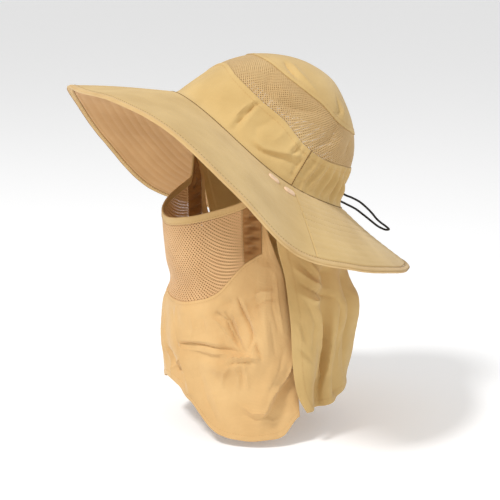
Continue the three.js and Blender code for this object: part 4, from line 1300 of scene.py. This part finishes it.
EDGE_WALL = 0.85
edge_surface = strip(cover_point, same(0), same(COVER_EDGE_STRIP))
edge_tape = shell(
    "cover_tape", edge_surface, graded(-COVER_REAR, COVER_REAR, 260, 0.2), graded(0, 1, 12, 0.06),
    EDGE_WALL, -EDGE_WALL, edge_relief, flip=True,
)
settle(edge_tape, "cover_binding", "edging")
COVER_SEAM = math.degrees(GAP / 2 / (0.93 * HALF_WIDTH))
GUSSET_WALL = 0.6
PUCKER_PITCH, FINE_PITCH = 11, 4.7


def gusset_relief(A, B):
    """Puckers that run across the gusset, deepest along its middle."""
    share = np.clip((np.abs(A) - MESH_SIDE) / (STRAP_FRONT - MESH_SIDE), 0, 1)
    height = cover_point(A, between(BODY_HEAD, net_foot(A), B))[..., 2]
    fade = ramp(B, 0, 0.15) * ramp(1 - B, 0, 0.15)
    wave = np.cos(2 * np.pi * (height - 6 * share) / PUCKER_PITCH + 0.8 * np.sin(height / 9))
    fine = np.cos(2 * np.pi * height / FINE_PITCH + 2 * share)
    return -np.sin(np.pi * share) * fade * (2.8 + 1.7 * wave + 0.6 * fine)


# The gussets take the darker cloth, which paints the shade they lie in under the brim.
for side, facing in SIDES.items():
    edges = sorted((facing * (MESH_SIDE + COVER_SEAM), facing * (STRAP_FRONT - 3 * COVER_SEAM)))
    gusset = shell(
        f"ear_gusset_{side}", strip(cover_point, body_head, net_foot), graded(*edges, 26, 0.2),
        graded(0, 1, 90, 0.004), GUSSET_WALL, -GUSSET_WALL, gusset_relief, flip=True, step=FINE_STEP,
    )
    settle(gusset, f"cover_gusset_{side}", "shaded_cloth")

# %% [markdown]
# ## Stitches
# A seam is read from its stitches as much as from its fold. Thousands of them follow the edges, so one
# small stitch is repeated by Geometry Nodes: lines become curves, the curves get evenly spaced points,
# and each point gets a long seed-shaped thread turned along the line.


# %% The stitch tree
def stitch_tree():
    tree, given, names = new_tree(
        "stitches", {"Pitch": "Float", "Length": "Float", "Width": "Float", "Thread": "Material"}
    )
    curve = add(tree, "GeometryNodeMeshToCurve", [("Mesh", given["Geometry"])])
    even = add(tree, "GeometryNodeResampleCurve", [
        ("Curve", curve.outputs["Curve"]), ("Length", given["Pitch"]),
    ], mode="LENGTH")
    seed = add(tree, "GeometryNodeMeshIcoSphere", Subdivisions=1, Radius=0.5)
    width = given["Width"]
    size = add(tree, "ShaderNodeCombineXYZ", [("X", given["Length"]), ("Y", width), ("Z", width)])
    tangent = add(tree, "GeometryNodeInputTangent")
    turn = add(tree, "FunctionNodeAlignRotationToVector", [("Vector", tangent.outputs["Tangent"])], axis="X")
    scatter = add(tree, "GeometryNodeInstanceOnPoints", [
        ("Points", even.outputs["Curve"]), ("Instance", seed.outputs["Mesh"]),
        ("Rotation", turn.outputs["Rotation"]), ("Scale", size.outputs["Vector"]),
    ])
    end_tree(tree, scatter.outputs["Instances"], given["Thread"])
    return tree, names


STITCH_TREE, STITCH_INPUTS = stitch_tree()
print("stitch tree:", len(STITCH_TREE.nodes), "nodes")


def seam_line(surface, A, B, height, flip=False, relief=None):
    """Points in millimetres along a surface, raised by height and by the piece's relief there."""
    A, B = np.broadcast_arrays(np.asarray(A, float), np.asarray(B, float))
    normal = surface_normals(surface, A, B, (0.01, 0.01), -1 if flip else 1)
    raised = height + (relief(A, B) if relief else 0)
    return surface(A, B) + normal * np.asarray(raised)[..., None]


def stitches(name, lines, slot, finish="seam", pitch=3.2, length=2.4, width=0.42):
    """lines are lists of points. One piece holds them all."""
    points = np.concatenate(lines) * MM
    edges, first = [], 0
    for line in lines:
        edges += [(first + k, first + k + 1) for k in range(len(line) - 1)]
        first += len(line)
    mesh = bpy.data.meshes.new(name)
    mesh.from_pydata(points.tolist(), edges, [])
    thing = new_object(name, mesh)
    modifier = thing.modifiers.new("stitches", "NODES")
    modifier.node_group = STITCH_TREE
    for key, value in (("Pitch", pitch), ("Length", length), ("Width", width)):
        modifier[STITCH_INPUTS[key]] = value * MM
    modifier[STITCH_INPUTS["Thread"]] = FINISH[finish]
    settle(make_plain(thing), None)
    print(name, len(thing.data.polygons), "faces")


# %% Stitch lines of the hat
turns = np.linspace(0, 360, 400)
front_turns = np.linspace(-SIDE_SEAM + 1, SIDE_SEAM - 1, 220)
back_turns = np.linspace(SIDE_SEAM + 1, 359 - SIDE_SEAM, 200)


def row_from_foot(angle, distance):
    """The crown wall's row that lies a distance below the net band."""
    return 1 - distance / ((band_foot(angle) - CROWN_FOOT) * CROWN_STEP)


def quilt_lines(angles, height, relief):
    """The rings of stitching, one in each valley of the quilting."""
    lines = []
    for k in range(1, math.ceil(QUILT_ROWS)):
        inset = k / QUILT_ROWS * seam_inset(angles)
        row = (inset + CLOTH_WALL) / (seam_inset(angles) + CLOTH_WALL)
        lines.append(seam_line(brim_surface, angles, row, height, True, relief))
    return lines


below_lines = quilt_lines(turns, UNDER_TO, under_relief)
above_lines = quilt_lines(back_turns, UPPER_TO, upper_relief)
quilt_size = {"pitch": 3.5, "length": 2.6, "width": 0.34}
stitches("quilting_below", below_lines, "lining", **quilt_size)
# The upper rings of stitching take the darker cloth, which paints the shade in the quilting's valleys.
stitches("quilting_above", above_lines, "cloth", finish="shaded_cloth", **quilt_size)
TAPE_ROW, ON_TAPE = 0.16, 0.4
tape_faces = (UPPER_TO + ON_TAPE, UNDER_TO - ON_TAPE)
tape_lines = [seam_line(tape_surface, turns, TAPE_ROW, face, True) for face in tape_faces]
# The tape's stitch lines take the dark thread, which paints the shade of the sewn line.
stitches("tape_seams", tape_lines, "edging", finish="shade_thread")
TOP_STITCH, ON_CROWN, FOOT_ROW = 4.6, 0.62, 0.015
OUTER_LINE, INNER_LINE, SEAM_LINE = 3.2, 0.9, 0.3


def side_lines(inset, rows, height):
    """A line up both side seams, a few degrees in front of them."""
    angles = [facing * (SIDE_SEAM - inset) for facing in (1, -1)]
    return [seam_line(crown_wall, np.full(60, angle), rows, height, False, front_relief) for angle in angles]


tip_row = TOP_STITCH / ((1 - band_head(turns)) * CROWN_STEP)
front_row, back_row = (row_from_foot(angles, TOP_STITCH) for angles in (front_turns, back_turns))
stitches("crown_seams", [
    seam_line(tip_surface, turns, tip_row, ON_CROWN, False, tip_relief),
    seam_line(crown_wall, front_turns, front_row, ON_CROWN, False, front_relief),
    seam_line(crown_wall, back_turns, back_row, ON_CROWN, False, back_relief),
    *side_lines(OUTER_LINE, np.linspace(0.03, 0.97, 60), ON_CROWN),
    *side_lines(INNER_LINE, np.linspace(0.03, 0.97, 60), ON_CROWN),
], "cloth")
# The dark thread here paints the shade in the crevice between crown and brim and in the folds of the side
# seams.
stitches("foot_seam", [
    seam_line(crown_wall, front_turns, FOOT_ROW, 0.9, False, front_relief),
    seam_line(crown_wall, back_turns, FOOT_ROW, 0.9, False, back_relief),
    *side_lines(SEAM_LINE, np.linspace(0.02, 0.98, 60), 0.7),
], "cloth", finish="shade_thread", pitch=2.0, length=2.1, width=1.1)

# %% Stitch lines of the flap and the cover
hem_turns = np.linspace(0.035, 0.965, 300)
hem_rows = np.linspace(0.18, 0.99, 120)
ON_THIN, FRONT_STITCH, LOWER_STITCH = 0.52, 9.3 / FLAP_WIDTH, 5.2 / FLAP_LENGTH
stitches("flap_seams", [
    seam_line(flap_point, hem_turns, 1 - LOWER_STITCH, ON_THIN, True, flap_relief),
    seam_line(flap_point, np.full(120, FRONT_STITCH), hem_rows, ON_THIN, True, flap_relief),
    seam_line(flap_point, np.full(120, 1 - FRONT_STITCH), hem_rows, ON_THIN, True, flap_relief),
], "cover_cloth")
hem_columns = np.linspace(-COVER_REAR + 2, COVER_REAR - 2, 360)
inner_columns = np.linspace(-STRAP_FRONT + 1, STRAP_FRONT - 1, 300)


def skirt_length_at(A):
    return cover_hem(A) - strap_waist(A)


HEM_STITCH, HEAD_STITCH, STRAP_STITCH = 5.4, 3.0, 1.6
hem_row = 1 - HEM_STITCH / skirt_length_at(hem_columns)
head_row = HEAD_STITCH / skirt_length_at(inner_columns)
strap_rows = np.linspace(0.02, 0.98, 90)
strap_edges = [np.full(90, side * (STRAP_FRONT + STRAP_STITCH)) for side in (1, -1)]
stitches("cover_seams", [
    seam_line(skirt_surface, hem_columns, hem_row, ON_THIN, True, skirt_relief),
    seam_line(skirt_surface, inner_columns, head_row, ON_THIN, True, skirt_relief),
    *[seam_line(strap_surface, edge, strap_rows, ON_THIN, True, strap_relief) for edge in strap_edges],
    seam_line(edge_surface, np.linspace(-95, 95, 300), 0.8, 0.9, True),
], "cover_cloth", pitch=2.8, length=2.1)

# %% [markdown]
# ## Floor and light
# The hat is shown as it is worn, so it stands clear above a plain pale floor, below which nothing hangs.
# A soft lamp high in front, a weak wide one beside the hat and a pale sky make plain studio light. The
# floor glows a little, as a light table does, so that it stays pale far away too.


# %% Stage
def area_lamp(name, spot, aim, size, power):
    data = bpy.data.lights.new(name, "AREA")
    data.shape = "DISK"
    data.size = size
    data.energy = power
    lamp = new_object(name, data)
    lamp.location = spot
    lamp.rotation_euler = (Vector(aim) - Vector(spot)).to_track_quat("-Z", "Y").to_euler()


FLOOR_LEVEL = -0.262
FLOOR_REACH = 60
AIM = (0, 0, -0.05)
KEY_SPOT, FILL_SPOT = (0.6, -1.4, 2.0), (2.0, 0.5, 0.6)
corner_places = [(-1, -1), (1, -1), (1, 1), (-1, 1)]
floor_corners = [(x * FLOOR_REACH, y * FLOOR_REACH, FLOOR_LEVEL) for x, y in corner_places]
floor_mesh = bpy.data.meshes.new("floor")
floor_mesh.from_pydata(floor_corners, [], [(0, 1, 2, 3)])
floor = new_object("floor", floor_mesh)
floor_finish = bpy.data.materials.new("pale floor")
floor_finish.use_nodes = True
floor_shader = floor_finish.node_tree.nodes["Principled BSDF"]
set_inputs(floor_shader, {
    "Base Color": (0.93, 0.93, 0.93, 1), "Roughness": 0.9, "Emission Color": (1, 1, 1, 1),
    "Emission Strength": 0.2,
})
floor_mesh.materials.append(floor_finish)

area_lamp("key", KEY_SPOT, AIM, size=0.5, power=44)
area_lamp("fill", FILL_SPOT, AIM, size=1.6, power=5)
sky = bpy.data.worlds.new("pale sky")
sky.use_nodes = True
set_inputs(sky.node_tree.nodes["Background"], {"Color": (1, 1, 1, 1), "Strength": 0.6})
bpy.context.scene.world = sky
bpy.context.scene.view_settings.view_transform = "Standard"

# %% Finish
bpy.context.view_layer.update()
